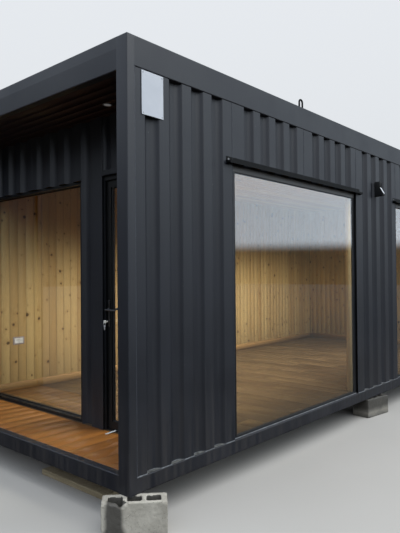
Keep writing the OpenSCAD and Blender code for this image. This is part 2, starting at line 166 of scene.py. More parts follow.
def skin(rings):
    """A closed skin over rings (ring, point, 3), with a fan from the middle of each end ring."""
    count, size = rings.shape[:2]
    points = np.concatenate([rings.reshape(-1, 3), rings[[0, -1]].mean(1)])
    k = np.arange(size)
    after = (k + 1) % size
    last = (count - 1) * size
    none = np.full(size, -1)
    first_fan = np.stack([after, k, np.full(size, count * size), none], -1)
    last_fan = np.stack([last + k, last + after, np.full(size, count * size + 1), none], -1)
    return points, np.concatenate([net(count, size, round_columns=True), first_fan, last_fan])


def swept(section, path, up, scale=1.0):
    """A closed section (x, y) carried along a path. At path point i it stands square to the path:
    path[i] + scale[i] * (x * across[i] + y * upright[i]), across being the path's direction times up."""
    path = np.asarray(path, float)
    ahead = np.gradient(path, axis=0)
    ahead /= np.linalg.norm(ahead, axis=1, keepdims=True)
    across = np.cross(ahead, up)
    across /= np.linalg.norm(across, axis=1, keepdims=True)
    upright = np.cross(across, ahead)
    scale = np.broadcast_to(scale, len(path))[:, None, None]
    x, y = section[None, :, :1], section[None, :, 1:]
    return skin(path[:, None] + scale * (x * across[:, None] + y * upright[:, None]))


def bar(section, start, end, up):
    """A straight sweep with two stations."""
    return swept(section, [start, end], up)


def circle(radius, steps=16):
    """Points at equal angles round a circle."""
    angle = np.arange(steps) * 2 * np.pi / steps
    return radius * np.stack([np.cos(angle), np.sin(angle)], -1)


def rounded(width, height, radius, steps=6):
    """Outline of a rectangle with rounded corners: quarter circles about the four inner corners."""
    radius = min(radius, width / 2 - 1e-5, height / 2 - 1e-5)
    angle = np.linspace(0, np.pi / 2, steps)[None] + np.arange(4)[:, None] * np.pi / 2
    middle = np.array([[1, 1], [-1, 1], [-1, -1], [1, -1]]) * [width / 2 - radius, height / 2 - radius]
    return (middle[:, None] + radius * np.stack([np.cos(angle), np.sin(angle)], -1)).reshape(-1, 2)


def layered(outline, layers, origin, axes):
    """Outlines joined in order: layer k is outline(inset) at a height, from its pair (inset, height)."""
    rings = [np.column_stack([o, np.full(len(o), h)]) for o, h in ((outline(i), h) for i, h in layers)]
    return skin(np.stack([put(ring, origin, axes) for ring in rings]))


def turned(profile, origin, axes, steps=28):
    """A profile of (radius, height) pairs turned about the outward axis."""
    return layered(lambda radius: circle(radius, steps), profile, origin, axes)


def plate(width, height, thick, radius, bevel, origin, axes):
    """A flat plate with rounded corners and a bevelled face: its outline drawn in by the bevel at the top."""
    return layered(
        lambda inset: rounded(width - 2 * inset, height - 2 * inset, max(radius - inset, 0.0004)),
        [(bevel / 2, 0), (0, bevel / 2), (0, thick - bevel), (bevel * 0.3, thick - bevel * 0.3), (bevel, thick)],
        origin, axes,
    )


def mitred(low, high, profile, origin, axes):
    """A closed profile of (inset, out) pairs carried round a rectangle, mitred at its four corners."""
    inset, out = np.asarray(profile, float).T
    first = np.stack([low[0] + inset, high[0] - inset, high[0] - inset, low[0] + inset])
    second = np.stack([low[1] + inset, low[1] + inset, high[1] - inset, high[1] - inset])
    local = np.stack([first, second, np.broadcast_to(out, first.shape)], -1)
    return put(local.reshape(-1, 3), origin, axes), net(4, len(inset), True, True)


def boards(low, high, thick, bevel, face, origin, axes):
    """Boards as stacks of rectangles: foot, top of the sides, and the face drawn in by the bevel.
    low and high are each board's corners (across, along). Each point carries where it lies in its board's
    figure: across from the middle, along from a start of the board's own, and a number of the board's own."""
    low, high, bevel = (np.asarray(value, float) for value in (low, high, bevel))
    count = len(low)
    draw_in = np.array([0, 0, 1])[None, :, None] * bevel
    low_rings, high_rings = low[:, None] + draw_in, high[:, None] - draw_in
    pick = np.array([[0, 0], [1, 0], [1, 1], [0, 1]])
    flat = np.where(pick[None, None] == 0, low_rings[:, :, None], high_rings[:, :, None])
    level = np.broadcast_to(face, count)[:, None] - np.array([thick, bevel.max(), 0])
    level = np.broadcast_to(level[:, :, None, None], flat.shape[:3] + (1,))
    local = np.concatenate([flat, level], -1)
    middle = (low + high) / 2
    start, number = random.uniform(-40, 40, count), random.uniform(0, 60, count)
    figure = spaced(flat[..., 0] - middle[:, None, None, 0], flat[..., 1] + start[:, None, None],
                    number[:, None, None])
    one = np.concatenate([net(3, 4, round_columns=True), [[3, 2, 1, 0]], [[8, 9, 10, 11]]])
    faces = (one[None] + 12 * np.arange(count)[:, None, None]).reshape(-1, 4)
    return put(local.reshape(-1, 3), origin, axes), faces, figure


def row_of(edges, start, end):
    """Corners of a row of boards between neighbouring edges, all from start to end."""
    return [(a, start) for a in edges[:-1]], [(b, end) for b in edges[1:]]


def cuts(start, end, width, first_cut):
    """Edges of boards of one width between start and end, with a cut at first_cut, slivers left out."""
    steps = np.arange(math.ceil((start - first_cut) / width), math.floor((end - first_cut) / width) + 1)
    inner = first_cut + width * steps
    inner = inner[(inner > start + 0.012) & (inner < end - 0.012)]
    return np.concatenate([[start], inner, [end]])


def spread(points, seed=0):
    """Repeatable numbers from 0 to 1 for whole-number points, by multiplying and mixing their bits."""
    n = points.astype(np.int64)
    mixed = (n[..., 0] * 73856093) ^ (n[..., 1] * 19349663) ^ (n[..., 2] * 83492791) ^ (seed * 2654435761)
    mixed = ((mixed ^ (mixed >> 13)) * 1274126177) & 0xFFFFFFFF
    return ((mixed ^ (mixed >> 16)) & 0xFFFF) / 65535


def lumps(points, size, seed=0):
    """Smooth noise from -1 to 1: the eight numbers round each point, blended by its smoothed place between."""
    at = np.asarray(points, float) / size
    cell = np.floor(at)
    part = at - cell
    part = part * part * (3 - 2 * part)
    total = 0
    for corner in np.array(np.meshgrid([0, 1], [0, 1], [0, 1])).reshape(3, -1).T:
        weight = np.prod(np.where(corner == 1, part, 1 - part), -1)
        total = total + weight * spread(cell + corner, seed)
    return 2 * total - 1


def rough_shape(solid, cell, passes):
    """The outside of a block of small cells, rounded off: a quad wherever a filled cell meets an empty one,
    whose corners are then moved towards their neighbours' mean, a few times."""
    filled = np.pad(solid, 1)
    size = np.array(filled.shape) + 1
    quads = []
    for axis in range(3):
        for side in (-1, 1):
            bare = filled & ~np.roll(filled, -side, axis)
            at = np.argwhere(bare)
            u, v = [np.eye(3, dtype=int)[(axis + k) % 3] for k in (1, 2)]
            base = at + (np.eye(3, dtype=int)[axis] if side > 0 else 0)
            ring = [base, base + u, base + u + v, base + v]
            quads.append(np.stack(ring if side > 0 else ring[::-1], 1))
    corners = np.concatenate(quads)
    number = (corners[..., 0] * size[1] + corners[..., 1]) * size[2] + corners[..., 2]
    kept, faces = np.unique(number, return_inverse=True)
    faces = faces.reshape(-1, 4)
    points = np.stack(np.unravel_index(kept, size), -1).astype(float)
    edges = np.concatenate([faces[:, [0, 1]], faces[:, [1, 2]], faces[:, [2, 3]], faces[:, [3, 0]]])
    near = np.bincount(edges[:, 0], minlength=len(points))
    for _ in range(passes):
        mean = np.stack([
            np.bincount(edges[:, 0], points[edges[:, 1], k], len(points)) / near for k in range(3)
        ], -1)
        points = 0.45 * points + 0.55 * mean
    return (points - 1) * cell, faces


def add_piece(name, shape, finish, slot, *stands_for, body="cabin", smooth=None):
    """Makes one mesh object from a shape, or a list of them, and puts it on its body. It takes the place of the
    CAD nodes in stands_for. smooth is the angle in degrees up to which neighbouring faces are shaded as one."""
    points, faces, *carried = joined(*shape) if isinstance(shape, list) else shape
    corners = faces.ravel()
    sizes = np.where(faces[:, 3] < 0, 3, 4)
    corners = corners[corners >= 0]
    mesh = bpy.data.meshes.new(name)
    mesh.vertices.add(len(points))
    mesh.vertices.foreach_set("co", np.asarray(points, np.float32).ravel())
    mesh.loops.add(len(corners))
    mesh.loops.foreach_set("vertex_index", corners.astype(np.int32))
    mesh.polygons.add(len(sizes))
    mesh.polygons.foreach_set("loop_start", (np.cumsum(sizes) - sizes).astype(np.int32))
    mesh.update(calc_edges=True)
    for values in carried:
        kept, kind, field = ("figure", "FLOAT_VECTOR", "vector") if values.ndim == 2 else ("marks", "FLOAT", "value")
        mesh.attributes.new(kept, kind, "POINT").data.foreach_set(field, np.asarray(values, np.float32).ravel())
    work = bmesh.new()
    work.from_mesh(mesh)
    bmesh.ops.recalc_face_normals(work, faces=work.faces)
    work.to_mesh(mesh)
    work.free()
    if smooth is not None:
        mesh.polygons.foreach_set("use_smooth", np.ones(len(sizes), bool))
        mesh.set_sharp_from_angle(angle=math.radians(smooth))
    mesh.materials.append(finish)
    piece = bpy.data.objects.new(name, mesh)
    scene.collection.objects.link(piece)
    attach(piece, body)
    if stands_for:
        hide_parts(*stands_for)


# Finishes
class Graph:
    """Adds nodes to a shader tree. An input that is a socket is linked, and any other value is set."""

    def __init__(self, tree):
        self.tree = tree

    def add(self, kind, inputs=None, output=0, **settings):
        node = self.tree.nodes.new("ShaderNode" + kind)
        for key, value in settings.items():
            setattr(node, key, value)
        for key, value in (inputs or {}).items():
            if isinstance(value, bpy.types.NodeSocket):
                self.tree.links.new(value, node.inputs[key])
            else:
                node.inputs[key].default_value = value
        return node.outputs[output]

    def maths(self, operation, first, second=0.0, third=0.0):
        return self.add("Math", {0: first, 1: second, 2: third}, operation=operation)

    def times(self, first, second):
        return self.maths("MULTIPLY", first, second)

    def plus(self, first, second):
        return self.maths("ADD", first, second)

    def total(self, *values):
        return functools.reduce(self.plus, values)

    def minus(self, first, second):
        return self.maths("SUBTRACT", first, second)

    def along(self, direction, way):
        """How far a direction points the given way: their dot product."""
        return self.add("VectorMath", {0: direction, 1: way}, "Value", operation="DOT_PRODUCT")

    def parts(self, at):
        return self.add("SeparateXYZ", {0: at}).node.outputs

    def noise(self, at, scale, detail=2.0, roughness=0.5):
        return self.add("TexNoise", {"Vector": at, "Scale": scale, "Detail": detail, "Roughness": roughness}, "Fac")

    def ramp(self, value, low, high, to_low=0.0, to_high=1.0):
        inputs = {"Value": value, "From Min": low, "From Max": high, "To Min": to_low, "To Max": to_high}
        return self.add("MapRange", inputs, "Result", interpolation_type="SMOOTHSTEP")

    def blend(self, share, first, second):
        """From the first to the second, each a socket, a linear colour of four values or a screen colour of three."""
        first, second = (colour(c) if isinstance(c, tuple) and len(c) == 3 else c for c in (first, second))
        return self.add("Mix", {0: share, 6: first, 7: second}, 2, data_type="RGBA")

    def stretched(self, at, scale):
        return self.add("Mapping", {"Vector": at, "Scale": scale})

    def bump(self, height, distance, strength=1.0):
        return self.add("Bump", {"Height": height, "Distance": distance, "Strength": strength}, "Normal")


def colour(screen):
    """A colour of the screen's 0 to 255 scale, in the renderer's linear one."""
    return tuple(((c / 255 + 0.055) / 1.055) ** 2.4 if c > 10 else c / 255 / 12.92 for c in screen) + (1,)


def group(name, inputs, outputs, fill):
    """A node group with named inputs and outputs, built once. fill gets its graph and the input sockets."""
    tree = bpy.data.node_groups.new(name, "ShaderNodeTree")
    for key, (kind, value) in inputs.items():
        socket = tree.interface.new_socket(name=key, in_out="INPUT", socket_type="NodeSocket" + kind)
        if value is not None:
            socket.default_value = value
    for key in outputs:
        tree.interface.new_socket(name=key, in_out="OUTPUT", socket_type="NodeSocketFloat")
    graph = Graph(tree)
    entry = tree.nodes.new("NodeGroupInput")
    made = fill(graph, entry.outputs)
    leave = tree.nodes.new("NodeGroupOutput")
    for key in outputs:
        tree.links.new(made[key], leave.inputs[key])
    return tree


def fill_timber(g, given):
    """Streaks that run with the board, growth bands bent by slow noise and round the knots, knots of many sizes
    at scattered points of the board's own stretch of a plane, and one shade for the whole board."""
    at = given["Figure"]
    slow = g.noise(g.stretched(at, (9, 0.9, 3.1)), 1.0, 2.0)
    across, _, number = g.parts(at)
    aside = g.add("CombineXYZ", {0: g.times(number, 3.7)})
    knot_at = g.add("VectorMath", {0: g.stretched(at, (5.6, 5.6, 0)), 1: aside}, operation="ADD")
    distance = g.add("TexVoronoi", {"Vector": knot_at, "Scale": 1.0}, "Distance", voronoi_dimensions="2D")
    distance = g.times(distance, g.ramp(g.noise(knot_at, 0.9), 0.35, 0.65, 0.6, 2.6))
    knot = g.ramp(distance, given["Knot size"], g.times(given["Knot size"], 0.55))
    halo = g.ramp(distance, g.times(given["Knot size"], 3.2), given["Knot size"])
    bent = g.total(g.times(across, given["Rings"]), g.times(slow, 11.0), g.times(halo, 2.6))
    bands = g.maths("MULTIPLY_ADD", g.maths("SINE", bent), 0.5, 0.5)
    fine = g.noise(g.stretched(at, (330, 6, 2.7)), 1.0, 3.0, 0.6)
    broad = g.noise(g.stretched(at, (24, 0.7, 1.3)), 1.0, 2.0)
    grain = g.total(g.times(bands, 0.42), g.times(fine, 0.34), g.times(broad, 0.36), g.times(halo, 0.16))
    whole = g.maths("FLOOR", g.times(number, 1000.0))
    shade = g.add("TexWhiteNoise", {"W": whole}, "Value", noise_dimensions="1D")
    relief = g.plus(g.times(grain, 0.7), g.times(knot, 0.4))
    return {"Grain": grain, "Knot": knot, "Shade": shade, "Relief": relief}


TIMBER = group(
    "timber_figure",
    {"Figure": ("Vector", None), "Rings": ("Float", 900.0), "Knot size": ("Float", 0.05)},
    ["Grain", "Knot", "Shade", "Relief"], fill_timber,
)


def fill_weather(g, given):
    """Dust that thins out with height over its level, rain streaks, pale specks and a slow waviness."""
    at = given["Position"]
    height = g.parts(at)[2]
    cloud = g.noise(at, 2.3, 4.0, 0.6)
    streak = g.noise(g.stretched(at, (26, 26, 0.9)), 1.0, 3.0, 0.55)
    low = g.ramp(g.plus(height, g.times(cloud, -0.5)), given["Dust level"], 0.0)
    dust = g.times(low, g.ramp(streak, 0.3, 0.75))
    specks = g.add("TexVoronoi", {"Vector": at, "Scale": 9.0, "Randomness": 1.0}, "Distance")
    specks = g.ramp(specks, 0.045, 0.02)
    chosen = g.ramp(g.noise(at, 3.7, 1.0), 0.56, 0.62)
    runs = g.ramp(g.noise(g.stretched(at, (60, 60, 1.6)), 1.0, 2.0), 0.60, 0.78)
    fine = g.noise(at, 420.0, 2.0)
    return {"Dust": dust, "Specks": g.times(specks, chosen), "Runs": runs, "Cloud": cloud,
            "Fine": fine, "Wave": g.noise(at, 1.7, 1.0)}


WEATHER = group(
    "weathering",
    {"Position": ("Vector", None), "Dust level": ("Float", 1.0)},
    ["Dust", "Specks", "Runs", "Cloud", "Fine", "Wave"], fill_weather,
)


def new_finish(name):
    """A material with an empty graph and its output node."""
    material = bpy.data.materials.new(name)
    material.use_nodes = True
    material.node_tree.nodes.clear()
    graph = Graph(material.node_tree)
    end = material.node_tree.nodes.new("ShaderNodeOutputMaterial")
    return material, graph, end.inputs["Surface"]


def close(graph, surface, **inputs):
    """Ends a material in a Principled shader, each input named after its socket and a socket or plain value."""
    shader = graph.add("BsdfPrincipled", {key.replace("_", " "): value for key, value in inputs.items()})
    graph.tree.links.new(shader, surface)


def painted(name, base, pale, roughness, dust_level=0.8, dust=0.10, wave=0.0012, specular=0.34):
    """Paint on steel or aluminium: base to pale with slow clouds, dust low down, specks and faint runs."""
    material, g, surface = new_finish(name)
    at = g.add("TexCoord", output="Object")
    weather = g.add("Group", {"Position": at, "Dust level": dust_level}, node_tree=WEATHER).node.outputs
    tone = g.blend(g.ramp(weather["Cloud"], 0.3, 0.7), base, pale)
    for mark, share, other in (("Runs", 0.03, (120, 122, 124)), ("Dust", dust, (118, 104, 86)),
                               ("Specks", 0.25, (160, 160, 156))):
        tone = g.blend(g.times(weather[mark], share), tone, other)
    rough = g.ramp(weather["Cloud"], 0.2, 0.8, roughness - 0.05, roughness + 0.06)
    close(g, surface, Base_Color=tone, Roughness=g.plus(rough, g.times(weather["Dust"], 0.25)),
          Specular_IOR_Level=specular, Normal=g.bump(g.plus(weather["Wave"], g.times(weather["Fine"], 0.018)), wave))
    return material


def wooden(name, dark, light, knot, roughness, rings=900.0, knot_size=0.05, shade=0.35, coat=0.0, relief=0.0003,
           seam=None):
    """Timber: light to dark with the grain, each board a shade of its own, darker knots, and darker joints where
    the place across the board comes near to seam, half the boards' width."""
    material, g, surface = new_finish(name)
    at = g.add("Attribute", output="Vector", attribute_name="figure")
    timber = g.add("Group", {"Figure": at, "Rings": rings, "Knot size": knot_size}, node_tree=TIMBER).node.outputs
    share = g.plus(g.ramp(timber["Grain"], 0.25, 0.95, 0.0, 1 - shade), g.times(timber["Shade"], shade))
    tone = g.blend(share, light, dark)
    tone = g.blend(g.times(timber["Knot"], 0.85), tone, knot)
    if seam:
        across = g.maths("ABSOLUTE", g.parts(at)[0])
        tone = g.blend(g.ramp(across, seam - 0.0055, seam - 0.0015, 0.0, 0.3), tone, knot)
    rough = g.ramp(timber["Grain"], 0.2, 0.9, roughness - 0.05, roughness + 0.08)
    inputs = dict(Base_Color=tone, Roughness=rough, Normal=g.bump(timber["Relief"], relief, 0.6))
    if coat:
        inputs.update(Coat_Weight=coat, Coat_Roughness=0.16)
    close(g, surface, **inputs)
    return material


def glass(name, tint, ior):
    """Clear glass. Shadow rays pass straight through, so that the daylight reaches the room behind."""
    material, g, surface = new_finish(name)
    clear = g.add("BsdfPrincipled", {"Base Color": tint, "Roughness": 0.0, "IOR": ior, "Transmission Weight": 1.0})
    through = g.add("BsdfTransparent", {"Color": (0.86, 0.88, 0.87, 1)})
    path = g.add("LightPath").node.outputs
    share = g.maths("MAXIMUM", path["Is Shadow Ray"], path["Is Diffuse Ray"])
    g.tree.links.new(g.add("MixShader", {0: share, 1: clear, 2: through}), surface)
    return material


def plain(name, tone, other, roughness, scale=60.0, distance=0.0002, metallic=0.0, coat=0.0, painted_glow=0.0):
    """A moulded, cast or smeared finish: two close tones by noise, with a fine relief, and for a diffuser a
    faint painted light: an emission that stands in for the daylight that it passes on."""
    material, g, surface = new_finish(name)
    at = g.add("TexCoord", output="Object")
    cloud, fine = g.noise(at, scale / 6, 3.0, 0.6), g.noise(at, scale * 6)
    inputs = dict(Base_Color=g.blend(g.ramp(cloud, 0.35, 0.65), tone, other), Metallic=metallic,
                  Roughness=g.ramp(fine, 0.2, 0.8, roughness - 0.05, roughness + 0.08),
                  Normal=g.bump(g.plus(cloud, g.times(fine, 0.3)), distance))
    if coat:
        inputs.update(Coat_Weight=coat, Coat_Roughness=0.15)
    if painted_glow:
        inputs.update(Emission_Color=(0.93, 0.97, 1, 1), Emission_Strength=painted_glow)
    close(g, surface, **inputs)
    return material


def stone(name):
    """Concrete: warm and grey clouds, sand grains, dark pores, and darker, glossier patches where the points are
    marked, which on the blocks under the cabin are painted shade.
    """
    material, g, surface = new_finish(name)
    at = g.add("TexCoord", output="Object")
    darkened = g.add("Attribute", output="Fac", attribute_name="marks")
    cloud = g.noise(at, 7.0, 4.0, 0.62)
    sand = g.noise(at, 310.0, 3.0, 0.7)
    pores = g.ramp(g.add("TexVoronoi", {"Vector": at, "Scale": 95.0}, "Distance"), 0.30, 0.12)
    pores = g.times(pores, g.ramp(g.noise(at, 40.0), 0.45, 0.6))
    tone = g.blend(g.ramp(cloud, 0.3, 0.7), (160, 153, 139), (198, 191, 176))
    tone = g.blend(g.ramp(sand, 0.35, 0.8, 0.0, 0.35), tone, (208, 203, 192))
    tone = g.blend(g.times(pores, 0.6), tone, (84, 80, 72))
    # Darker where the points are marked; on the blocks under the cabin's sides this is painted shade.
    edge = g.ramp(g.plus(darkened, g.times(g.minus(cloud, 0.5), 0.55)), 0.30, 0.76)
    tone = g.blend(g.times(edge, 0.86), tone, (44, 41, 38))
    height = g.minus(g.plus(g.times(sand, 0.5), cloud), pores)
    close(g, surface, Base_Color=tone, Roughness=g.ramp(edge, 0.0, 1.0, 0.93, 0.6), Normal=g.bump(height, 0.0014))
    return material


anthracite = painted("anthracite_paint", (20, 23, 31), (25, 28, 37), 0.46, specular=0.58)
roof_paint = painted("roof_paint", (60, 63, 68), (74, 76, 79), 0.5, dust_level=9.0, dust=0.4, specular=0.5)
black_paint = painted("black_paint", (12, 13, 14), (17, 18, 19), 0.6, specular=0.15)
frame_paint = painted("frame_paint", (22, 24, 27), (28, 30, 34), 0.36, dust=0.05, wave=0.0004)
# A lighter copy of the frame paint for the frame heads: painted light.
painted_light_frame = painted("painted_light_frame_paint", (84, 84, 84), (92, 91, 90), 0.40, dust=0.05, wave=0.0004)
black_frame = painted("black_frame_paint", (16, 17, 18), (21, 22, 23), 0.40, dust=0.03, wave=0.0004)
clear_glass = glass("window_glass", (0.97, 0.99, 0.985, 1), 2.1)
pine = wooden("pine", (172, 128, 70), (238, 206, 142), (78, 44, 18), 0.5, knot_size=0.09, shade=0.5, seam=0.0480)
# The trim is the pine drawn lighter: painted light on the reveals and casings, which stand in shade.
pine_painted_light = wooden("pine_painted_light", (206, 160, 100), (242, 208, 148), (96, 58, 26), 0.5, knot_size=0.03)
skirting_stain = wooden("skirting_stain", (142, 104, 58), (176, 136, 84), (80, 50, 24), 0.42, knot_size=0.02)
oak_floor = wooden("oak_floor", (58, 42, 27), (98, 78, 53), (44, 30, 18), 0.38, rings=800.0, knot_size=0.02,
                   shade=0.45, coat=0.3, relief=0.00003)
deck_oil = wooden("deck_oil", (112, 66, 27), (180, 118, 55), (60, 28, 8), 0.42, rings=900.0, knot_size=0.01,
                  shade=0.3, coat=0.35, relief=0.00003)
soffit_oil = wooden("soffit_oil", (27, 9, 4), (46, 16, 7), (16, 5, 3), 0.5, rings=480.0, knot_size=0.02, coat=0.15,
                    relief=0.0001)
# The plank's pale tone is partly weathered timber's own and partly painted light, drawn lighter against the shade it
# lies in.
weathered = wooden("weathered_plank_painted_light", (140, 124, 96), (196, 180, 148), (76, 62, 44), 0.85, rings=500.0, relief=0.0020)
subfloor = wooden("subfloor_board", (96, 72, 46), (120, 94, 64), (60, 40, 24), 0.8)
concrete = stone("block_concrete")
rubber = plain("black_rubber", (14, 14, 15), (20, 20, 21), 0.55, 200.0)
sealant = plain("grey_sealant", (128, 130, 132), (98, 100, 102), 0.6, 160.0, 0.0012)
ledge_dirt = plain("ledge_dust", (112, 112, 108), (74, 74, 72), 0.85, 150.0, 0.0015)
dark_satin = plain("dark_satin_steel", (84, 85, 88), (100, 101, 104), 0.26, 120.0, 0.00005, metallic=1.0)
bright_metal = plain("bright_aluminium", (212, 213, 214), (196, 198, 200), 0.4, 120.0, 0.00005, metallic=0.2)
satin = plain("satin_steel", (150, 152, 155), (168, 170, 172), 0.28, 120.0, 0.00005, metallic=1.0)
plate_paint = plain("white_plate", (207, 210, 216), (198, 202, 209), 0.35, 24.0, 0.0002, coat=0.3)
lamp_black = plain("lamp_black", (17, 18, 19), (24, 25, 27), 0.38, 90.0, 0.0001)
# The panel's faint emission is painted light: it draws the lamp panel and the downlight discs lit by daylight.
lamp_pale = plain("lamp_panel", (238, 240, 244), (230, 233, 238), 0.3, 60.0, 0.0001, coat=0.4, painted_glow=0.08)
socket_white = plain("socket_white", (232, 229, 222), (224, 220, 212), 0.32, 60.0, 0.0001, coat=0.3)
socket_frame = plain("socket_frame", (168, 152, 144), (158, 143, 136), 0.38, 60.0, 0.0001)
weld = plain("weld_steel", (64, 67, 74), (52, 55, 62), 0.42, 260.0, 0.0008)
bare_weld = plain("bare_weld", (150, 148, 142), (112, 104, 94), 0.5, 260.0, 0.0010, metallic=0.4)


def give(finish, *names):
    """Puts a finish on CAD nodes."""
    for name in names:
        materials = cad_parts[name].data.materials
        materials.clear()
        materials.append(finish)


for finish, names in (
        (anthracite, "corner_posts base_rails_end base_rails_side fascia_rails top_rails_side wall_left wall_rear "
                     "wall_right_front wall_right_middle wall_right_rear walls_over_windows front_wall_head "
                     "front_wall_pier porch_cheeks"),
        (roof_paint, "roof_sheet"),
        (black_paint, "floor_joists lifting_eyes window_canopies door_hinge_knuckles door_hinge_leaves"),
        (frame_paint, "window_frames door_frame door_stops"), (black_frame, "glazing_frame door_leaf"),
        (clear_glass, "window_glass glazing_glass door_glass"),
        (pine, "cabin_ceiling lining_left lining_rear lining_right lining_front opening_reveals"),
        (skirting_stain, "skirting"), (oak_floor, "cabin_floor"), (deck_oil, "porch_deck"),
        (soffit_oil, "porch_ceiling"), (weathered, "packing_plank"), (concrete, "foundation_blocks"),
        (satin, "door_handle"), (lamp_black, "wall_lamp"), (lamp_pale, "wall_lamp_lens porch_downlights"),
        (socket_white, "wall_socket")):
    give(finish, *names.split())


# The stand
BLOCK = (0.390, 0.190)
CORE = 0.085
SHELL = 0.030


def block_cells(thick, cell, broken=False):
    """Filled cells of a hollow block, long way along X: all but three rounded cores, and where it is broken,
    all below a ragged slope on the outer shell's left half."""
    count = [round(BLOCK[0] / cell), round(thick / cell), round(BLOCK[1] / cell)]
    step = [BLOCK[0] / count[0], thick / count[1], BLOCK[1] / count[2]]
    x, y, z = np.meshgrid(*[(np.arange(n) + 0.5) * s for n, s in zip(count, step)], indexing="ij")
    at = np.stack([x - BLOCK[0] / 2, y - thick / 2, z], -1)
    x, y = at[..., 0], at[..., 1]
    half_core, half_depth, round_off = CORE / 2, thick / 2 - SHELL, 0.014
    solid = np.ones(x.shape, bool)
    for middle in (-CORE - SHELL, 0, CORE + SHELL):
        away_x = np.maximum(np.abs(x - middle) - half_core + round_off, 0)
        away_y = np.maximum(np.abs(y) - half_depth + round_off, 0)
        solid &= np.hypot(away_x, away_y) > round_off
    if broken:
        ragged = 0.010 * lumps(at, 0.028, 5) + 0.005 * lumps(at, 0.011, 6)
        front = (y < -thick / 2 + SHELL + 0.020 + ragged) & (x < -0.030 + 2 * ragged) & (x > -0.150 + ragged)
        dip = 0.182 - 0.026 * np.exp(-((x + 0.080) / 0.030) ** 2)
        solid &= ~(front & (z > dip + ragged + 0.3 * (y + thick / 2)))
        solid &= ~((x < -0.178 + ragged) & (z > 0.176 + ragged + 0.4 * (y + thick / 2)))
    corner = (np.abs(x) / BLOCK[0] + np.abs(y) / thick + np.abs(z / BLOCK[1] - 0.5)) * 2
    return solid & ~(corner > 2.93 + 0.20 * lumps(at, 0.035, 3)), step


def hollow_block(x, y, turn, thick, cell, seed, broken=False, painted_shade=0.0):
    """One rough block standing on the ground, turned about its middle by turn degrees. Its points carry how much
    darker it is drawn: round the break, at its foot, in its cores and, for a block under the cabin, a painted shade
    that grows towards its top, where the cabin shades it."""
    solid, step = block_cells(thick, cell, broken)
    points, faces = rough_shape(solid, step, 3)
    points = points - [BLOCK[0] / 2, thick / 2, 0]
    pitted = 0.0011 * lumps(points + seed, 0.017, seed) + 0.0007 * lumps(points + seed, 0.008, seed + 1)
    push = np.stack([lumps(points + 3.1 * k, 0.02, seed + k) for k in range(3)], -1)
    points = points * (1 - 0.004) + pitted[:, None] * np.sign(push)
    points[:, 2] = np.clip(points[:, 2], 0, BLOCK[1])
    away_x, away_y = np.abs(points[:, :2]).T
    inner = (away_x < 1.5 * CORE + SHELL + 0.004) & (away_y < thick / 2 - SHELL + 0.004)
    inner &= points[:, 2] < BLOCK[1] - 0.006
    # The last term is painted shade: a block under the cabin drawn darker towards its top, where the cabin shades it.
    darkened = 0.30 * np.clip(1 - points[:, 2] / 0.05, 0, 1) + 0.8 * inner + painted_shade * (0.45 + 1.1 * points[:, 2] / BLOCK[1])
    if broken:
        broken_part = 1.25 - np.abs(points[:, 0] + 0.118) / 0.066 - np.maximum(points[:, 1] + 0.02, 0) / 0.05
        darkened = darkened + np.clip(broken_part, 0, 1)
    angle = math.radians(turn)
    axes = ([math.cos(angle), math.sin(angle), 0], [-math.sin(angle), math.cos(angle), 0], [0, 0, 1])
    return put(points, (x, y, 0), axes), faces, darkened


def lay_blocks():
    """A thinner block askew under each corner, the near right one finer and broken, and a thicker block
    under the middle of each side, drawn darker towards its top: painted shade from the cabin over it."""
    x, y = X_OUT + 0.023, Y_END - 0.020
    made = [hollow_block(x, -y, 47, 0.140, 0.0052, 2, broken=True)]
    for k, (side, end) in enumerate(((1, 1), (-1, -1), (-1, 1))):
        made.append(hollow_block(side * x, end * y, -47 * side * end, 0.140, 0.0076, 11 * k + 13))
    for k, (side, cell) in enumerate(((1, 0.0065), (-1, 0.0080))):
        # These blocks are drawn darker towards their tops: painted shade from the cabin over them.
        made.append(hollow_block(side * (X_OUT - 0.047), -0.129, 90 - 8 * side, 0.190, cell, 11 * k + 46, painted_shade=0.70))
    add_piece("concrete_blocks", made, concrete, "concrete", "foundation_blocks", smooth=50)


def lay_plank():
    """Weathered plank: its rounded section carried along X, with shallow lengthwise cracks and worn ends."""
    low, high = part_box("packing_plank")
    low.x += 0.085
    outline = rounded(high.y - low.y, high.z - low.z, 0.006, 14)
    x = np.linspace(low.x, high.x, 90)
    wear = 1 - 0.05 * np.exp(-np.minimum(x - low.x, high.x - x) / 0.01)
    rings = np.zeros((len(x), len(outline), 3))
    rings[..., 0] = x[:, None]
    rings[..., 1:] = outline * wear[:, None, None]
    grain = lumps(rings * [0.12, 1, 1], 0.009, 4)
    rings[..., 2] -= 0.0016 * np.clip(grain, 0, 1) * (rings[..., 2] > 0)
    rings[..., 1] *= 1 - 0.010 * (lumps(rings * [1, 0.01, 0.01], 0.07, 5) + 1)
    rings[[0, -1], :, 0] += 0.006 * lumps(rings[[0, -1]], 0.012, 8) * [[1], [-1]] + [[0.006], [-0.006]]
    points, faces = skin(rings + [0, (low.y + high.y) / 2, (low.z + high.z) / 2])
    add_piece("timber_plank", (points, faces, points[:, [1, 0, 2]] * [1, 1, 30]), weathered, "weathered_timber",
              "packing_plank", smooth=40)


# Timber linings, floor and deck
PINE_WIDTH = 0.096
PINE_FIRST_CUT = 0.018
PINE_THICK = LINING - 0.0006
PINE_BEVEL = (0.0024, 0.0)


def wall_boards(regions, origin, axes):
    """Upright boards with V joints over rectangles (from, to, low, high), cut on one set of lines."""
    low, high = [], []
    for start, end, bottom, top in regions:
        feet, heads = row_of(cuts(start, end, PINE_WIDTH, PINE_FIRST_CUT), bottom, top)
        low, high = low + feet, high + heads
    face = random.uniform(-0.0003, 0, len(low))
    return boards(low, high, PINE_THICK, PINE_BEVEL, face, origin, axes)


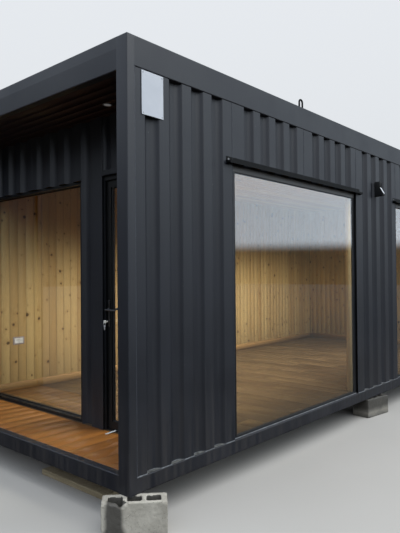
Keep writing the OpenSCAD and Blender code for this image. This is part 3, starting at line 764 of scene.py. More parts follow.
def line_walls():
    """Pine boards on the four walls and the ceiling."""
    w1, w2 = WINDOW_STARTS
    ends = ((Y_FRAME_INNER, w1), (w1 + WINDOW, w2), (w2 + WINDOW, Y_LINING_REAR))
    piers = [(a, b, Z_FLOOR, Z_CEILING) for a, b in ends]
    heads = [(w + 0.001, w + WINDOW - 0.001, Z_WINDOW_HEAD, Z_CEILING) for w in WINDOW_STARTS]
    walls = {
        "left": wall_boards([(Y_GLAZING_INNER, Y_LINING_REAR, Z_FLOOR, Z_CEILING)], -X_LINING * X, (Y, Z, X)),
        "right": wall_boards(piers + heads, X_LINING * X, (Y, Z, -X)),
        "rear": wall_boards([(-X_LINING, X_LINING, Z_FLOOR, Z_CEILING)], Y_LINING_REAR * Y, (X, Z, -Y)),
        "front": wall_boards([(-X_LINING, X_LINING, Z_DOOR_HEAD, Z_CEILING),
                              (X_GLAZING[1], X_DOOR[0], Z_FLOOR, Z_DOOR_HEAD - 0.001)],
                             Y_LINING_FRONT * Y, (X, Z, Y)),
    }
    for side, shape in walls.items():
        add_piece(f"pine_wall_{side}", shape, pine, "pine_boards", f"lining_{side}")
    corners = row_of(cuts(-X_LINING - LINING, X_LINING + LINING, PINE_WIDTH, PINE_FIRST_CUT),
                     Y_LINING_FRONT - LINING, Y_LINING_REAR + LINING)
    shape = boards(*corners, PINE_THICK, PINE_BEVEL, 0, Z_CEILING * Z, (X, Y, -Z))
    add_piece("pine_ceiling", shape, pine, "pine_boards", "cabin_ceiling")


def line_openings():
    """Reveal boards round the windows and the porch openings, each a bevelled board on its wall's side."""
    made = []

    def board(low, high, face, origin, axes):
        made.append(boards([low], [high], LINING - 0.0004, (0.0012, 0.0012), face, origin, axes))

    near, far = X_LINING + LINING, X_FRAME_INNER
    for start in WINDOW_STARTS:
        end = start + WINDOW
        board((near, Z_FLOOR), (far, Z_WINDOW_HEAD), LINING, start * Y, (X, Z, Y))
        board((near, Z_FLOOR), (far, Z_WINDOW_HEAD), LINING, end * Y, (X, Z, -Y))
        board((near, start + LINING + 0.001), (far, end - LINING - 0.001), LINING, Z_WINDOW_HEAD * Z, (X, Y, -Z))
    near, far = Y_FRAME_INNER, Y_LINING_FRONT - LINING
    board((near, Z_FLOOR), (far, Z_DOOR_HEAD - 0.001), 0, X_GLAZING[1] * X, (Y, Z, -X))
    board((near, Z_FLOOR), (far, Z_DOOR_HEAD - 0.001), 0, X_DOOR[0] * X, (Y, Z, X))
    board((near, -X_LINING), (far, X_LINING), 0, Z_DOOR_HEAD * Z, (Y, X, -Z))
    add_piece("pine_reveals", made, pine_painted_light, "pine_boards", "opening_reveals")


def fit_skirting():
    """Skirting with an eased top edge, its section carried along each run of wall."""
    section = np.array([(0, 0), (0.012, 0), (0.012, 0.064), (0.0105, 0.071), (0.0065, 0.076), (0.004, 0.080),
                        (0, 0.080)])
    x, front, rear, corner = X_LINING, Y_LINING_FRONT, Y_LINING_REAR, Y_LINING_REAR - 0.013
    w1, w2 = WINDOW_STARTS
    runs = [(-x, corner, -x, front), (x, rear, -x, rear), (x, front, x, w1), (x, w1 + WINDOW, x, w2),
            (x, w2 + WINDOW, x, corner), (X_GLAZING[1], front, X_DOOR[0], front)]
    made = []
    for run in runs:
        start, end = np.array([*run[:2], Z_FLOOR]), np.array([*run[2:], Z_FLOOR])
        inward = np.cross(Z, end - start)[:2] @ -start[:2] < 0
        made.append(bar(section if inward else section * [-1, 1], start, end, Z))
    points, faces = joined(*made)
    length = np.where(np.abs(points[:, 1] - rear) < 0.02, points[:, 0], points[:, 1])
    add_piece("skirting_boards", (points, faces, spaced(points[:, 2] - Z_FLOOR, length, 3.0)), skirting_stain,
              "skirting_wood", "skirting")


def lay_floor():
    """Floor planks along X in rows along Y, the joints of each row shifted, over one flat under-board."""
    width, length, thick = 0.193, 1.285, 0.008
    low_box, high_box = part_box("cabin_floor")
    rows = cuts(low_box.y, high_box.y, width, 0.07)
    low, high = [], []
    for k, (a, b) in enumerate(zip(rows[:-1], rows[1:])):
        ends = cuts(low_box.x, high_box.x, length, -1.1 + (k * 0.47) % length)
        low += [(a, c) for c in ends[:-1]]
        high += [(b, c) for c in ends[1:]]
    add_piece("floor_planks", boards(low, high, thick, (0.0008, 0.0008), 0, Z_FLOOR * Z, (Y, X, Z)), oak_floor,
              "floor_laminate", "cabin_floor")
    under = Z_FLOOR - thick
    add_piece("floor_underboard", boards([(low_box.x, low_box.y)], [(high_box.x, high_box.y)], under - low_box.z,
                                         (0, 0), 0, (under - 0.0002) * Z, UPWARDS), subfloor, "floor_laminate")


def lay_deck():
    """Deck boards along Y with eased edges and thin gaps, and the soffit's boards over the porch."""
    low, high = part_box("porch_deck")
    feet, heads = row_of(cuts(low.x, high.x, 0.144, 0.072), low.y, high.y)
    gap = [0.0004, 0]
    shape = boards(np.add(feet, gap), np.subtract(heads, gap), 0.030, (0.0009, 0.0009), 0, Z_FLOOR * Z, UPWARDS)
    add_piece("deck_boards", shape, deck_oil, "deck_hardwood", "porch_deck")
    low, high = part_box("porch_ceiling")
    corners = row_of(cuts(low.y, high.y, 0.096, -3.54), low.x, high.x)
    add_piece("soffit_boards", boards(*corners, LINING, (0.0006, 0), 0, Z_FASCIA * Z, (Y, X, -Z)), soffit_oil,
              "soffit_hardwood", "porch_ceiling")


# Corrugated sheets
def rolled_groove():
    """One groove about its middle, as (along, depth) points. Each of its four corners is a bend: with a and b the
    places where the bend leaves the straight parts, its points are (1-t)^2 a + 2t(1-t) corner + t^2 b."""
    mouth, floor = GROOVE_MOUTH / 2, GROOVE_FLOOR / 2
    corners = np.array([(-mouth, 0), (-floor, GROOVE_DEPTH), (floor, GROOVE_DEPTH), (mouth, 0)])
    ahead = np.diff(np.vstack([corners[0] - [1, 0], corners, corners[-1] + [1, 0]]), axis=0)
    ahead /= np.linalg.norm(ahead, axis=1, keepdims=True)
    reach = np.array([0.005, 0.024, 0.024, 0.005])[:, None]
    a, b = corners - reach * ahead[:-1], corners + reach * ahead[1:]
    t = np.linspace(0, 1, 7)[None, :, None]
    return ((1 - t) ** 2 * a[:, None] + 2 * t * (1 - t) * corners[:, None] + t ** 2 * b[:, None]).reshape(-1, 2)


def groove_centres(start, end, first, module):
    """Middles of the grooves between two ends: four to a module, counted from the line at first."""
    centres = first + (np.arange(-8, 9)[:, None] + 0.5) * module + (np.arange(4) - 1.5) * GROOVE_PITCH
    centres = centres.ravel()
    return centres[(centres - GROOVE_MOUTH / 2 > start + 0.001) & (centres + GROOVE_MOUTH / 2 < end - 0.001)]


def sheet_line(start, end, centres):
    """Points (along, depth) of the sheet's outer face from start to end: flat, with a groove at each centre."""
    grooves = (np.asarray(centres)[:, None, None] * [1, 0] + rolled_groove()).reshape(-1, 2)
    return np.concatenate([[(start, 0)], grooves, [(end, 0)]])


def sheet(start, end, centres, origin, axes, low, high):
    """An upright sheet: its outer line and the same line one thickness deeper, each at the foot and the head,
    joined in a ring, and closed at both ends."""
    line = sheet_line(start, end, centres)
    rows = [(0, low), (0, high), (SHEET, high), (SHEET, low)]
    local = np.stack([np.column_stack([line[:, 0], np.full(len(line), z), -line[:, 1] - deep]) for deep, z in rows])
    count = len(line)
    ends = np.arange(4) * count
    faces = np.concatenate([net(4, count, round_rows=True), [ends, ends[::-1] + count - 1]])
    return put(local.reshape(-1, 3), origin, axes), faces


def right_bay(start, end):
    """A stretch of the right side: (start, end, middles of its grooves, origin, axes)."""
    return start, end, groove_centres(start, end, GROOVE_SHIFT - Y_END, MODULE), X_FACE * X, RIGHTWARDS


def rail_bays():
    """The stretches of sheet that stand on a base rail, each by the node of its solid."""
    w1, w2 = WINDOW_STARTS
    y, x = Y_INNER, X_OUT - POST
    return {
        "wall_right_front": right_bay(-y, w1), "wall_right_middle": right_bay(w1 + WINDOW, w2),
        "wall_right_rear": right_bay(w2 + WINDOW, y),
        "wall_left": (-y, y, groove_centres(-y, y, -GROOVE_SHIFT - Y_END, MODULE), -X_FACE * X, LEFTWARDS),
        "wall_rear": (-x, x, groove_centres(-x, x, -X_INNER, END_MODULE), Y_FACE * Y, BACKWARDS),
    }


def clad_walls():
    """The corrugated sheets of the four walls, one piece for each of the solids that it stands for."""
    sheets = {node: [sheet(*bay, Z_RAIL, Z_FASCIA if node == "wall_rear" else Z_SIDE_HEAD)]
              for node, bay in rail_bays().items()}
    sheets["walls_over_windows"] = [sheet(*right_bay(start, start + WINDOW), Z_WINDOW_HEAD, Z_SIDE_HEAD)
                                    for start in WINDOW_STARTS]
    _, first, second = X_SEAMS
    pier = [first + GROOVE_MOUTH / 2 + 0.005]
    left, right = [(a, b, groove_centres(a, b, -1.5 * PORCH_MODULE, PORCH_MODULE))
                   for a, b in ((-X_INNER, first), (second, X_INNER))]
    for node, low, high, parts in (
            ("front_wall_head", Z_DOOR_HEAD, Z_FASCIA, (left, (first, second, pier), right)),
            ("front_wall_pier", Z_FLOOR, Z_DOOR_HEAD,
             ((first, X_DOOR[0] + 0.025, pier), (X_DOOR[1] - 0.025, X_INNER, [])))):
        sheets[node] = [sheet(*part, Y_PORCH * Y, FORWARDS, low, high) for part in parts]
    for node, made in sheets.items():
        add_piece(f"{node}_sheet", made, anthracite, "anthracite_steel", node, smooth=35)


# Steel details
def stand_posts():
    """Corner posts: a rectangle with one rolled corner, the outer one, and with the top edges of the two outer
    sides rolled the same: inset r(1 - cos t) at height r(sin t - 1) from the top. Rails meet the square sides."""
    roll, tall = 0.008, Z_TOP - Z_BASE
    t = np.linspace(0, np.pi / 2, 6)

    def outline(inset):
        small = max(roll - inset, 0.0004)
        arc = np.array([POST - inset - small, RAIL - inset - small]) + small * np.stack([np.cos(t), np.sin(t)], -1)
        return np.concatenate([[(0, 0), (POST - inset, 0)], arc, [(0, RAIL - inset)]])

    layers = [(0, 0)] + list(zip(roll * (1 - np.cos(t)), tall + roll * (np.sin(t) - 1)))
    made = [layered(outline, layers, (x * (X_OUT - POST), y * Y_INNER, Z_BASE), (x * X, y * Y, Z))
            for x in (-1, 1) for y in (-1, 1)]
    add_piece("rolled_posts", made, anthracite, "anthracite_steel", "corner_posts", smooth=35)


def filled_in(line, step):
    """The same line with points at most a step apart."""
    counts = [max(2, math.ceil(np.linalg.norm(b - a) / step) + 1) for a, b in zip(line[:-1], line[1:])]
    parts = [np.linspace(a, b, n)[:-1] for a, b, n in zip(line[:-1], line[1:], counts)]
    return np.concatenate(parts + [line[-1:]])


def seal_foot():
    """A bead of sealant along each sheet's foot, and the dust that lies in each groove, thinning out in patches."""
    beads, heaps = [], []
    rows, columns = 17, 6
    half = GROOVE_MOUTH / 2
    along = np.linspace(-half, half, rows)[:, None]
    depth = np.clip((half - np.abs(along)) / (GROOVE_MOUTH - GROOVE_FLOOR) * 2, 0, 1) * GROOVE_DEPTH
    out = -depth + np.linspace(0, 1, columns) * (depth - 0.004)
    for start, end, centres, origin, axes in rail_bays().values():
        foot = origin + Z_RAIL * Z
        line = filled_in(sheet_line(start + 0.002, end - 0.002, centres), 0.022)
        path = put(spaced(line[:, 0], 0.0005, 0.0012 - line[:, 1]), foot, axes)
        beads.append(swept(circle(0.0042, 6), path, Z, 0.85 + 0.35 * lumps(path, 0.05, 9)))
        for centre in centres:
            points = put(spaced(centre + along, 0.0, out), foot, axes)
            level = 0.0018 + 0.0020 * lumps(points, 0.030, 12) + 0.0010 * lumps(points, 0.009, 13)
            heaps.append(between(points + np.outer(level, Z), points - 0.0008 * Z, rows, columns))
    add_piece("foot_sealant", beads, sealant, "anthracite_steel", smooth=60)
    add_piece("ledge_dust", heaps, ledge_dirt, "anthracite_steel", smooth=60)


def weld_line(start, end, up, radius, seed, step=0.03):
    """A weld bead: a small round section whose size wavers along the line."""
    start, end = np.asarray(start, float), np.asarray(end, float)
    count = max(3, int(np.linalg.norm(end - start) / step))
    path = start + (end - start) * np.linspace(0, 1, count)[:, None]
    return swept(circle(radius, 6), path, up, 1 + 0.25 * lumps(path, 0.04, seed))


def weld_panels():
    """Beads down the panel joints, beside the posts, over the roof and round the eyes' feet."""
    def upright(x, y, low, high, up, radius, seed):
        return weld_line((x, y, low), (x, y, high), up, radius, seed)

    made = []
    for k in range(1, 7):
        y, ridge = -Y_END + k * MODULE, Z_TOP - 0.014
        over = any(start < y < start + WINDOW for start in WINDOW_STARTS)
        made.append(upright(X_FACE, y, Z_WINDOW_HEAD + 0.03 if over else Z_RAIL, Z_SIDE_HEAD, Y, 0.0032, k))
        made.append(upright(-X_FACE, y, Z_RAIL, Z_SIDE_HEAD, Y, 0.0032, k + 10))
        made.append(weld_line((-X_INNER, y, ridge), (X_INNER, y, ridge), Z, 0.003, k + 20))
    made += [upright(x, y, Z_RAIL, Z_SIDE_HEAD, Y, 0.0045, 31)
             for x in (-X_FACE, X_FACE) for y in (-Y_INNER + 0.003, Y_INNER - 0.003)]
    made += [upright(x, Y_FACE, Z_RAIL, Z_FASCIA, X, 0.0024, 40 + k)
             for k, x in enumerate((-END_MODULE / 2, END_MODULE / 2))]
    made += [upright(x, Y_PORCH, Z_DOOR_HEAD, Z_FASCIA, X, 0.0022, 44 + k) for k, x in enumerate(X_SEAMS)]
    add_piece("panel_welds", made, weld, "anthracite_steel", smooth=60)
    collar = [(0.0135, 0.0), (0.0128, 0.003), (0.0105, 0.0065), (0.0083, 0.009)]
    collars = [turned(collar, (x * (X_OUT - RAIL / 2), y * 1.5 * MODULE + leg, Z_TOP), UPWARDS, 14)
               for x in (-1, 1) for y in (-1, 1) for leg in (-0.026, 0.026)]
    add_piece("eye_welds", collars, bare_weld, "black_steel", smooth=60)


# Windows and doors
def glaze():
    """Black gaskets round each pane, mitred, on both its faces: a sloped lip or a square bead."""
    lip = [(-0.003, 0.0), (-0.003, 0.0034), (0.002, 0.0036), (0.0065, 0.0010), (0.0070, 0.0)]
    bead = [(-0.001, 0.0), (-0.001, 0.0085), (0.004, 0.0085), (0.0075, 0.0055), (0.0080, 0.0)]
    broad = [(-0.001, 0.0), (-0.001, 0.0070), (0.008, 0.0070), (0.0115, 0.0045), (0.0120, 0.0)]

    def both(low, high, outer, inner, planes, axes):
        behind = (-axes[0], axes[1], -axes[2])
        return [mitred(low, high, outer, planes[0], axes),
                mitred((-high[0], low[1]), (-low[0], high[1]), inner, planes[1], behind)]

    windows = [both((start + FRAME_FACE, Z_RAIL + FRAME_FOOT),
                    (start + WINDOW - FRAME_FACE, Z_WINDOW_HEAD - FRAME_HEAD), lip, bead,
                    np.outer(X_PANE[::-1], X), RIGHTWARDS) for start in WINDOW_STARTS]
    porch = both((X_GLAZING[0] + GLAZING_STILE, Z_FLOOR + GLAZING_RAIL),
                 (X_GLAZING[1] - GLAZING_STILE, Z_DOOR_HEAD - GLAZING_RAIL), bead, bead,
                 np.outer(Y_GLAZING_PANE, Y), FORWARDS)
    leaf = both(*zip(X_LEAF_GLASS, Z_LEAF_GLASS), broad, broad, np.outer(Y_LEAF_PANE, Y), FORWARDS)
    for name, made, body in (("window_gaskets", [outer for outer, _ in windows], "cabin"),
                             ("window_inner_gaskets", [inner for _, inner in windows], "cabin"),
                             ("glazing_gaskets", porch, "cabin"), ("leaf_gaskets", leaf, "door")):
        add_piece(name, made, rubber, "black_aluminium", body=body, smooth=30)


def case_windows():
    """Pine casings round the inside of each window frame, bars of one section: a board on the frame's inner
    face, with a thin tongue over the frame's edge that reaches out to the pane's gasket."""
    board, tongue, deep = 0.018, 0.004, X_PANE[0] - 0.0095 - X_FRAME_INNER
    wide, head = FRAME_FACE - LINING - 0.001, Z_WINDOW_HEAD - FRAME_HEAD
    section = np.array([(wide, -board), (wide, 0), (0, 0), (0, deep), (-tongue, deep), (-tongue, 0.002 - board),
                        (0.002 - tongue, -board)])
    made = []

    def case(section, start, end, up, order, shift):
        points, faces = bar(section, (X_FRAME_INNER, *start), (X_FRAME_INNER, *end), up)
        made.append((points, faces, points[:, order] * [1, 1, 0] + [0, *shift]))

    for k, start in enumerate(WINDOW_STARTS):
        y1, y2 = start + FRAME_FACE, start + WINDOW - FRAME_FACE
        for side, y in ((-1, y1), (1, y2)):
            case(section * [side, 1], (y, Z_FLOOR), (y, head), X, [0, 2, 1], (3 * k + side, 7 * k + side + 3))
        case(section[:, ::-1], (y1 - wide, head), (y2 + wide, head), Z, [0, 1, 2], (0, 11 * k + 5))
    add_piece("window_casings", made, pine_painted_light, "pine_boards")


def cover_heads():
    """Cover strips on the heads of the window frames, bars of one section with eased edges, in a light grey that is
    painted light, and the sheet's returns beside each frame, which close the gap between the frame and the corrugated
    face, in black that is painted shade."""
    half, x, z = 0.0215, X_FRAME_OUTER, Z_WINDOW_HEAD - FRAME_HEAD + 0.0255
    section = np.array([(0, -half), (0.0016, -half), (0.0024, 0.001 - half), (0.0024, half - 0.001), (0.0016, half),
                        (0, half)])
    made = [bar(section, (x, y + 0.012, z), (x, y + WINDOW - 0.012, z), Z) for y in WINDOW_STARTS]
    add_piece("frame_covers", made, painted_light_frame, "window_aluminium", smooth=30)
    turn = np.array([(0.0005, x + 0.0004), (0.0005, X_FACE - 0.0010), (0.0012, X_FACE - 0.0003),
                     (0.0024, X_FACE - 0.0010), (0.0024, x + 0.0004)])
    made = [bar(turn * [side, 1], (0, y, Z_RAIL + 0.001), (0, y, Z_WINDOW_HEAD - 0.001), X)
            for start in WINDOW_STARTS for side, y in ((1, start), (-1, start + WINDOW))]
    # The returns are black, darker than the sheet: painted shade of the gap beside each frame.
    add_piece("jamb_returns", made, black_paint, "anthracite_steel")


def seal_sills():
    """Pale sealant along the foot of each window frame, and a dab of it by the end of each canopy."""
    made = []
    dab = [(0.013, 0), (0.012, 0.0022), (0.007, 0.0034)]
    x, z = X_FRAME_OUTER + 0.002, Z_RAIL + 0.001
    for k, start in enumerate(WINDOW_STARTS):
        made.append(weld_line((x, start + 0.004, z), (x, start + WINDOW - 0.004, z), Z, 0.0040, 50 + k, 0.025))
        made.append(turned(dab, (X_FACE - 0.0004, start - 0.050, Z_WINDOW_HEAD + 0.018), RIGHTWARDS, 12))
    add_piece("sill_sealant", made, sealant, "anthracite_steel", smooth=60)


def cap_canopies():
    """End plates that close the folded canopies: the fold's outline as a thin plate."""
    overhang, thick = 0.0745, 0.002
    outline = np.array([(0, -0.030), (0.0385, -0.0205), (0.0405, -0.0205), (0.0405, -0.0035), (0.003, 0.0025),
                        (0, 0.0025)])
    made = [layered(lambda _: outline, [(0, 0), (0, thick)], (X_FACE, y, Z_WINDOW_HEAD + 0.006), (X, Z, Y))
            for start in WINDOW_STARTS for y in (start - overhang, start + WINDOW + overhang - thick)]
    add_piece("canopy_ends", made, black_paint, "black_steel")


def hang_plate():
    """Bare white plate near the corner, a little bowed: it stands off more between its screws."""
    width, height, thick = 0.187, 0.276, 0.0018
    rows, columns = 15, 11
    a = np.linspace(-width / 2, width / 2, columns)
    b = np.linspace(-height / 2, height / 2, rows)[:, None]
    bow = 0.0045 + 0.0008 * (2 * b / height) ** 2 + 0.0015 * np.cos(np.pi * a / width) - 0.0012 * b / height
    front, origin = spaced(a, b, bow), (X_FACE, -3.3885, 2.654)
    points, faces = between(front, front - thick * Z, rows, columns)
    add_piece("notice_plate", (put(points, origin, RIGHTWARDS), faces), plate_paint, "anthracite_steel", smooth=40)
    head = [(0.0042, 0), (0.0042, 0.0008), (0.003, 0.0018), (0.001, 0.0021)]
    heads = [turned(head, put([a * (width / 2 - 0.012), b * (height / 2 - 0.012), 0.0053], origin, RIGHTWARDS),
                    RIGHTWARDS, 12) for a in (-1, 1) for b in (-1, 1)]
    add_piece("plate_screws", heads, satin, "satin_hardware", smooth=40)


def fit_lamp():
    """Wall lamp: its housing's side outline as rings with bevelled edges, and a framed panel on the slope."""
    origin = X_FACE * X - 0.026 * Y + (Z_BASE + 2.164) * Z
    top, bottom = np.array([0.046, 0.100]), np.array([0.092, 0.020])
    outline = np.array([(0, 0), (0, 0.160), (0.0535, 0.160), (0.0556, 0.158), top, bottom, (0.0915, 0.012),
                        (0.088, 0.005), (0.082, 0.0038), (0.010, 0)])
    middle = outline.mean(0)
    layers = [(0.95, -0.022), (1.0, -0.0205), (1.0, 0.0205), (0.95, 0.022)]
    body = layered(lambda scale: middle + (outline - middle) * scale, layers, origin, (X, Z, Y))
    add_piece("lamp_housing", body, lamp_black, "lamp_body", "wall_lamp", smooth=30)
    length = np.linalg.norm(bottom - top)
    run = (bottom - top) / length
    axes = (Y, run[0] * X + run[1] * Z, run[0] * Z - run[1] * X)
    centre = origin + np.insert((top + bottom) / 2, 1, 0)
    panel = plate(0.034, length - 0.010, 0.0052, 0.003, 0.0012, centre, axes)
    add_piece("lamp_panel", panel, lamp_pale, "lamp_lens", "wall_lamp_lens", smooth=30)
    rim = mitred((-0.0205, -length / 2 + 0.001), (0.0205, length / 2 - 0.001),
                 [(0, 0), (0, 0.0055), (0.0030, 0.0062), (0.0034, 0)], centre, axes)
    add_piece("lamp_rim", rim, lamp_black, "lamp_body", smooth=30)


def fit_downlights():
    """Porch downlights: a turned rim round a shallow dish, with a frosted disc inside."""
    rim = [(0.032, 0.0), (0.038, 0.0), (0.038, 0.002), (0.036, 0.0045), (0.032, 0.005), (0.029, 0.004),
           (0.027, 0.001)]
    disc = [(0.027, 0.0008), (0.0265, 0.0020), (0.016, 0.0030)]
    for name, profile, finish, steps, nodes in (("downlight_rims", rim, satin, 40, ["porch_downlights"]),
                                                ("downlight_discs", disc, lamp_pale, 32, [])):
        made = [turned(profile, (x, -Y_END + 0.390, Z_FASCIA), DOWNWARDS, steps) for x in (-0.830, 0.830)]
        add_piece(name, made, finish, "lamp_lens", *nodes, smooth=40)


def fit_socket():
    """Double socket: a frame with an eased edge, and two inserts, each with a round well, its rim and its pins."""
    origin, axes = (-X_LINING, -2.666, 0.823), RIGHTWARDS
    add_piece("socket_frame", plate(0.132, 0.082, 0.0082, 0.007, 0.002, origin, axes), socket_frame,
              "socket_plastic", "wall_socket", smooth=30)
    inserts, pins = [], []
    for a in (-0.026, 0.026):
        well = put([a, 0, 0], origin, axes)
        inserts.append(plate(0.046, 0.054, 0.0094, 0.004, 0.001, well, axes))
        inserts.append(turned([(0.0205, 0.008), (0.0205, 0.0105), (0.0188, 0.0108), (0.0165, 0.0096)], well, axes))
        pins += [turned([(0.0024, 0.009), (0.0024, 0.0098)], put([b, 0, 0], well, axes), axes, 12)
                 for b in (-0.0080, 0.0080)]
    add_piece("socket_wells", inserts, socket_white, "socket_plastic", smooth=30)
    add_piece("socket_pins", pins, rubber, "socket_plastic", smooth=30)


def fit_handles():
    """Lever handles on both faces of the leaf: long plates, turned roses, bent levers, and the lock's cylinders."""
    made = []
    bend = np.linspace(0, np.pi / 2, 9)
    corner = spaced(0.014 * (1 - np.cos(bend)), 0, 0.032 + 0.014 * np.sin(bend))
    tail = spaced(np.linspace(0.024, 0.118, 10), 0, 0.046)
    end = spaced(0.118 + 0.007 * np.sin(bend[1:]), 0, 0.046 - 0.007 * (1 - np.cos(bend[1:])))
    lever = np.concatenate([[(0, 0, 0.010), (0, 0, 0.022)], corner, tail, end])
    width = np.interp(lever[:, 0], [0, 0.020, 0.118, 0.125], [1, 1.0, 0.86, 0.66])
    rose = [(0.0135, 0.004), (0.0135, 0.0095), (0.0115, 0.012), (0.0095, 0.0125)]
    cylinder = [(0.0115, 0.004), (0.0115, 0.0105), (0.0105, 0.0118), (0.003, 0.0118)]
    for axes, y in ((FORWARDS, Y_LEAF), ((X, Z, Y), Y_FRAME_INNER)):
        face = (X_HANDLE, y, Z_HANDLE)
        made.append(plate(0.032, 0.210, 0.006, 0.006, 0.0018, put([0, -0.030, 0], face, axes), axes))
        made.append(turned(rose, face, axes))
        made.append(swept(circle(0.008), put(lever, face, axes), Z, width))
        made.append(turned(cylinder, put([0, -0.092, 0], face, axes), axes, 24))
    add_piece("lever_handles", made, dark_satin, "satin_hardware", "door_handle", body="door", smooth=40)


def hang_key():
    """The key in the outer lock, with a ring that carries a second key: flat rounded bows and a turned ring."""
    lock = (X_HANDLE, Y_LEAF - 0.0118, Z_HANDLE - 0.092)
    made = [plate(*sizes, put(place, lock, FORWARDS), FORWARDS) for sizes, place in (
        ((0.0022, 0.024, 0.024, 0.0008, 0.0005), (0, 0, 0.018)),
        ((0.0020, 0.0075, 0.020, 0.0006, 0.0004), (0, 0, 0)),
        ((0.020, 0.020, 0.0022, 0.008, 0.0005), (0.003, -0.034, 0.035)),
        ((0.0070, 0.022, 0.0020, 0.0008, 0.0004), (0.003, -0.053, 0.0352)))]
    radius, steps = 0.011, 28
    outward = spaced(0, *circle(1, steps).T)
    section = circle(0.0009, 6)
    rings = (radius + section[:, :1]) * outward[:, None] + section[:, 1:] * X
    hoop = rings.reshape(-1, 3) + put([0.001, -0.016, 0.036], lock, FORWARDS)
    made.append((hoop, net(steps, len(section), True, True)))
    add_piece("door_key", made, bright_metal, "satin_hardware", body="door", smooth=40)


def screw_hinges():
    """Countersunk screw heads on the hinge plates, three to a plate."""
    head = [(0.0036, 0.0), (0.0036, 0.0006), (0.0026, 0.0012), (0.0008, 0.0010)]
    for body, side in (("cabin", 1), ("door", -1)):
        made = [turned(head, (X_HINGE + side * a, Y_FRAME_INNER + 0.0025, middle - side * 0.020 + b), (X, Z, Y), 10)
                for middle in Z_HINGES for a, b in ((0.014, -0.011), (0.014, 0.011), (0.023, 0.0))]
        add_piece(f"hinge_screws_{body}", made, satin, "satin_hardware", body=body, smooth=40)


def trim_porch():
    """Thin folded strips on the porch sheet: a drip strip over the door and a cover strip at the pier's edge,
    each a bar of one section with its edges turned back to the sheet."""
    drip = np.array([(0, 0.043), (0.0022, 0.0445), (0.0042, 0.043), (0.0042, 0.006), (0.0100, 0.0008),
                     (0.0088, -0.0004), (0.0022, 0.0044), (0, 0.0044)])
    cover = np.array([(0, -0.029), (0.0022, -0.031), (0.0036, -0.029), (0.0036, 0.029), (0.0022, 0.031), (0, 0.029)])
    edge = 0.530
    made = [bar(drip * [-1, 1], (X_DOOR[1], Y_PORCH, Z_DOOR_HEAD), (X_SEAMS[2] + 0.052, Y_PORCH, Z_DOOR_HEAD), Z),
            bar(cover[:, ::-1], (edge, Y_PORCH, Z_FLOOR), (edge, Y_PORCH, Z_FASCIA), -Y)]
    add_piece("porch_trim", made, anthracite, "anthracite_steel", smooth=30)


def lay_strip():
    """A short aluminium strip, with a low fold, that leans from the deck on the threshold."""
    section = np.array([(-0.009, 0.0002), (0.009, 0.0002), (0.009, 0.0022), (-0.006, 0.0020), (-0.0065, 0.0040),
                        (-0.009, 0.0040)])
    strip = bar(section, (0.673, -3.121, Z_FLOOR), (0.687, -3.024, Z_FLOOR + 0.0104), Z)
    add_piece("deck_strip", strip, bright_metal, "satin_hardware")


for build in (lay_blocks, lay_plank, line_walls, line_openings, fit_skirting, lay_floor, lay_deck, clad_walls,
              stand_posts, seal_foot, weld_panels, glaze, case_windows, cover_heads, seal_sills, cap_canopies,
              hang_plate, fit_lamp, fit_downlights, fit_socket, fit_handles, hang_key, screw_hinges, trim_porch,
              lay_strip):
    build()


# Floor, light and camera
def lay_ground():
    """A floor level with the ground that the blocks stand on: plain and pale to the camera, and a dark earth tone to
    every other ray, a painted reflection and bounce light of a dark ground.
    """
    half = 60
    mesh = bpy.data.meshes.new("studio_floor")
    mesh.from_pydata([(-half, -half, 0), (half, -half, 0), (half, half, 0), (-half, half, 0)], [], [(0, 1, 2, 3)])
    floor = bpy.data.objects.new("studio_floor", mesh)
    scene.collection.objects.link(floor)
    material, g, surface = new_finish("studio_floor")
    cloud = g.noise(g.add("TexCoord", output="Object"), 0.8, 3.0)
    seen = g.add("LightPath").node.outputs["Is Camera Ray"]
    tone = g.blend(cloud, (186, 181, 173), (194, 189, 182))
    # Dark earth tone for every ray but the camera's: painted reflection and bounce light of a dark ground.
    close(g, surface, Base_Color=g.blend(seen, (72, 64, 52), tone), Roughness=0.9)
    mesh.materials.append(material)


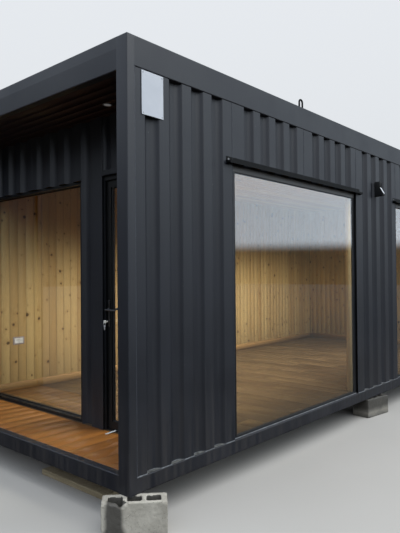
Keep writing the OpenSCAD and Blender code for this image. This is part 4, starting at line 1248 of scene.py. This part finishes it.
def light_sky():
    """Overcast light: brightest overhead and towards the cabin's windows, dull towards its porch, over a dark
    warm band along the horizon, which stands higher in front of the porch. The backdrop itself is pale."""
    world = bpy.data.worlds.new("overcast")
    world.use_nodes = True
    world.node_tree.nodes.clear()
    g = Graph(world.node_tree)
    direction = g.add("TexCoord", output="Generated")
    _, rearwards, rise = g.parts(direction)
    bright_side = g.along(direction, (0.63, 0.74, 0.22))
    dull_side = g.along(direction, (-0.62, -0.78, 0.0))
    sky = g.blend(g.ramp(bright_side, -0.2, 0.8), (0.95, 1.06, 1.22, 1), (1.16, 1.30, 1.44, 1))
    high = g.along(direction, (0, 0.93, 0.37))
    grey_part = g.maths("MAXIMUM", g.ramp(rearwards, 0.92, 0.98), g.ramp(high, 0.88, 0.96))
    sky = g.blend(grey_part, sky, (0.40, 0.45, 0.50, 1))
    edge = g.ramp(dull_side, 0.25, 0.80, 0.050, 0.30)
    soft = g.ramp(dull_side, 0.25, 0.80, 0.012, 0.07)
    band = g.ramp(g.maths("DIVIDE", g.minus(rise, edge), soft), 1.0, -1.0)
    low_tone = g.blend(g.ramp(dull_side, 0.25, 0.80), (0.105, 0.092, 0.062, 1), (0.045, 0.042, 0.036, 1))
    seen = g.add("LightPath").node.outputs["Is Camera Ray"]
    pale = g.blend(g.ramp(rise, 0.0, 0.6), (0.74, 0.77, 0.80, 1), (0.80, 0.83, 0.87, 1))
    tone = g.blend(seen, g.blend(band, sky, low_tone), pale)
    background = g.add("Background", {"Color": tone, "Strength": 1.0})
    end = world.node_tree.nodes.new("ShaderNodeOutputWorld")
    world.node_tree.links.new(background, end.inputs["Surface"])
    scene.world = world
    hang_light("softbox", (5.0, -1.5, 8.5), (0.0, 0.0, 1.0), (9.0, 9.0), 350.0, (1.0, 0.98, 0.95))
    room = hang_light("room_light", (1.16, -0.2, 2.10), (-1.36, -0.2, -1.20), (5.2, 0.5), 106.0, (1.0, 0.97, 0.90))
    room.data.spread = math.radians(100)
    room.visible_glossy = room.visible_transmission = False


def hang_light(name, place, aim, size, power, tint):
    """A rectangular area light at a place, turned to a point."""
    light = bpy.data.lights.new(name, "AREA")
    light.shape = "RECTANGLE"
    light.size, light.size_y = size
    light.energy = power
    light.color = tint
    lamp = bpy.data.objects.new(name, light)
    scene.collection.objects.link(lamp)
    lamp.visible_camera = False
    lamp.location = place
    lamp.rotation_euler = (Vector(aim) - Vector(place)).to_track_quat("-Z", "Y").to_euler()
    return lamp


def set_camera():
    """The photograph's view: a little below head height, off the near corner, almost level. The angles and the
    lens come from the least-squares fit of the camera to the photograph's edges."""
    yaw, pitch, roll = (math.radians(a) for a in (41.510, 0.822, -0.444))
    ahead = Vector((-math.sin(yaw) * math.cos(pitch), math.cos(yaw) * math.cos(pitch), math.sin(pitch)))
    right = Vector((math.cos(yaw), math.sin(yaw), 0))
    above = right.cross(ahead)
    right, above = (right * math.cos(roll) + above * math.sin(roll), above * math.cos(roll) - right * math.sin(roll))
    data = bpy.data.cameras.new("camera")
    data.lens = 36.574
    data.sensor_width = 36
    data.clip_end = 500
    camera = bpy.data.objects.new("camera", data)
    scene.collection.objects.link(camera)
    camera.matrix_world = Matrix((right, above, -ahead)).transposed().to_4x4()
    camera.location = (3.975, -5.746, 1.520)
    scene.camera = camera


lay_ground()
light_sky()
set_camera()
scene.view_settings.view_transform = "Standard"
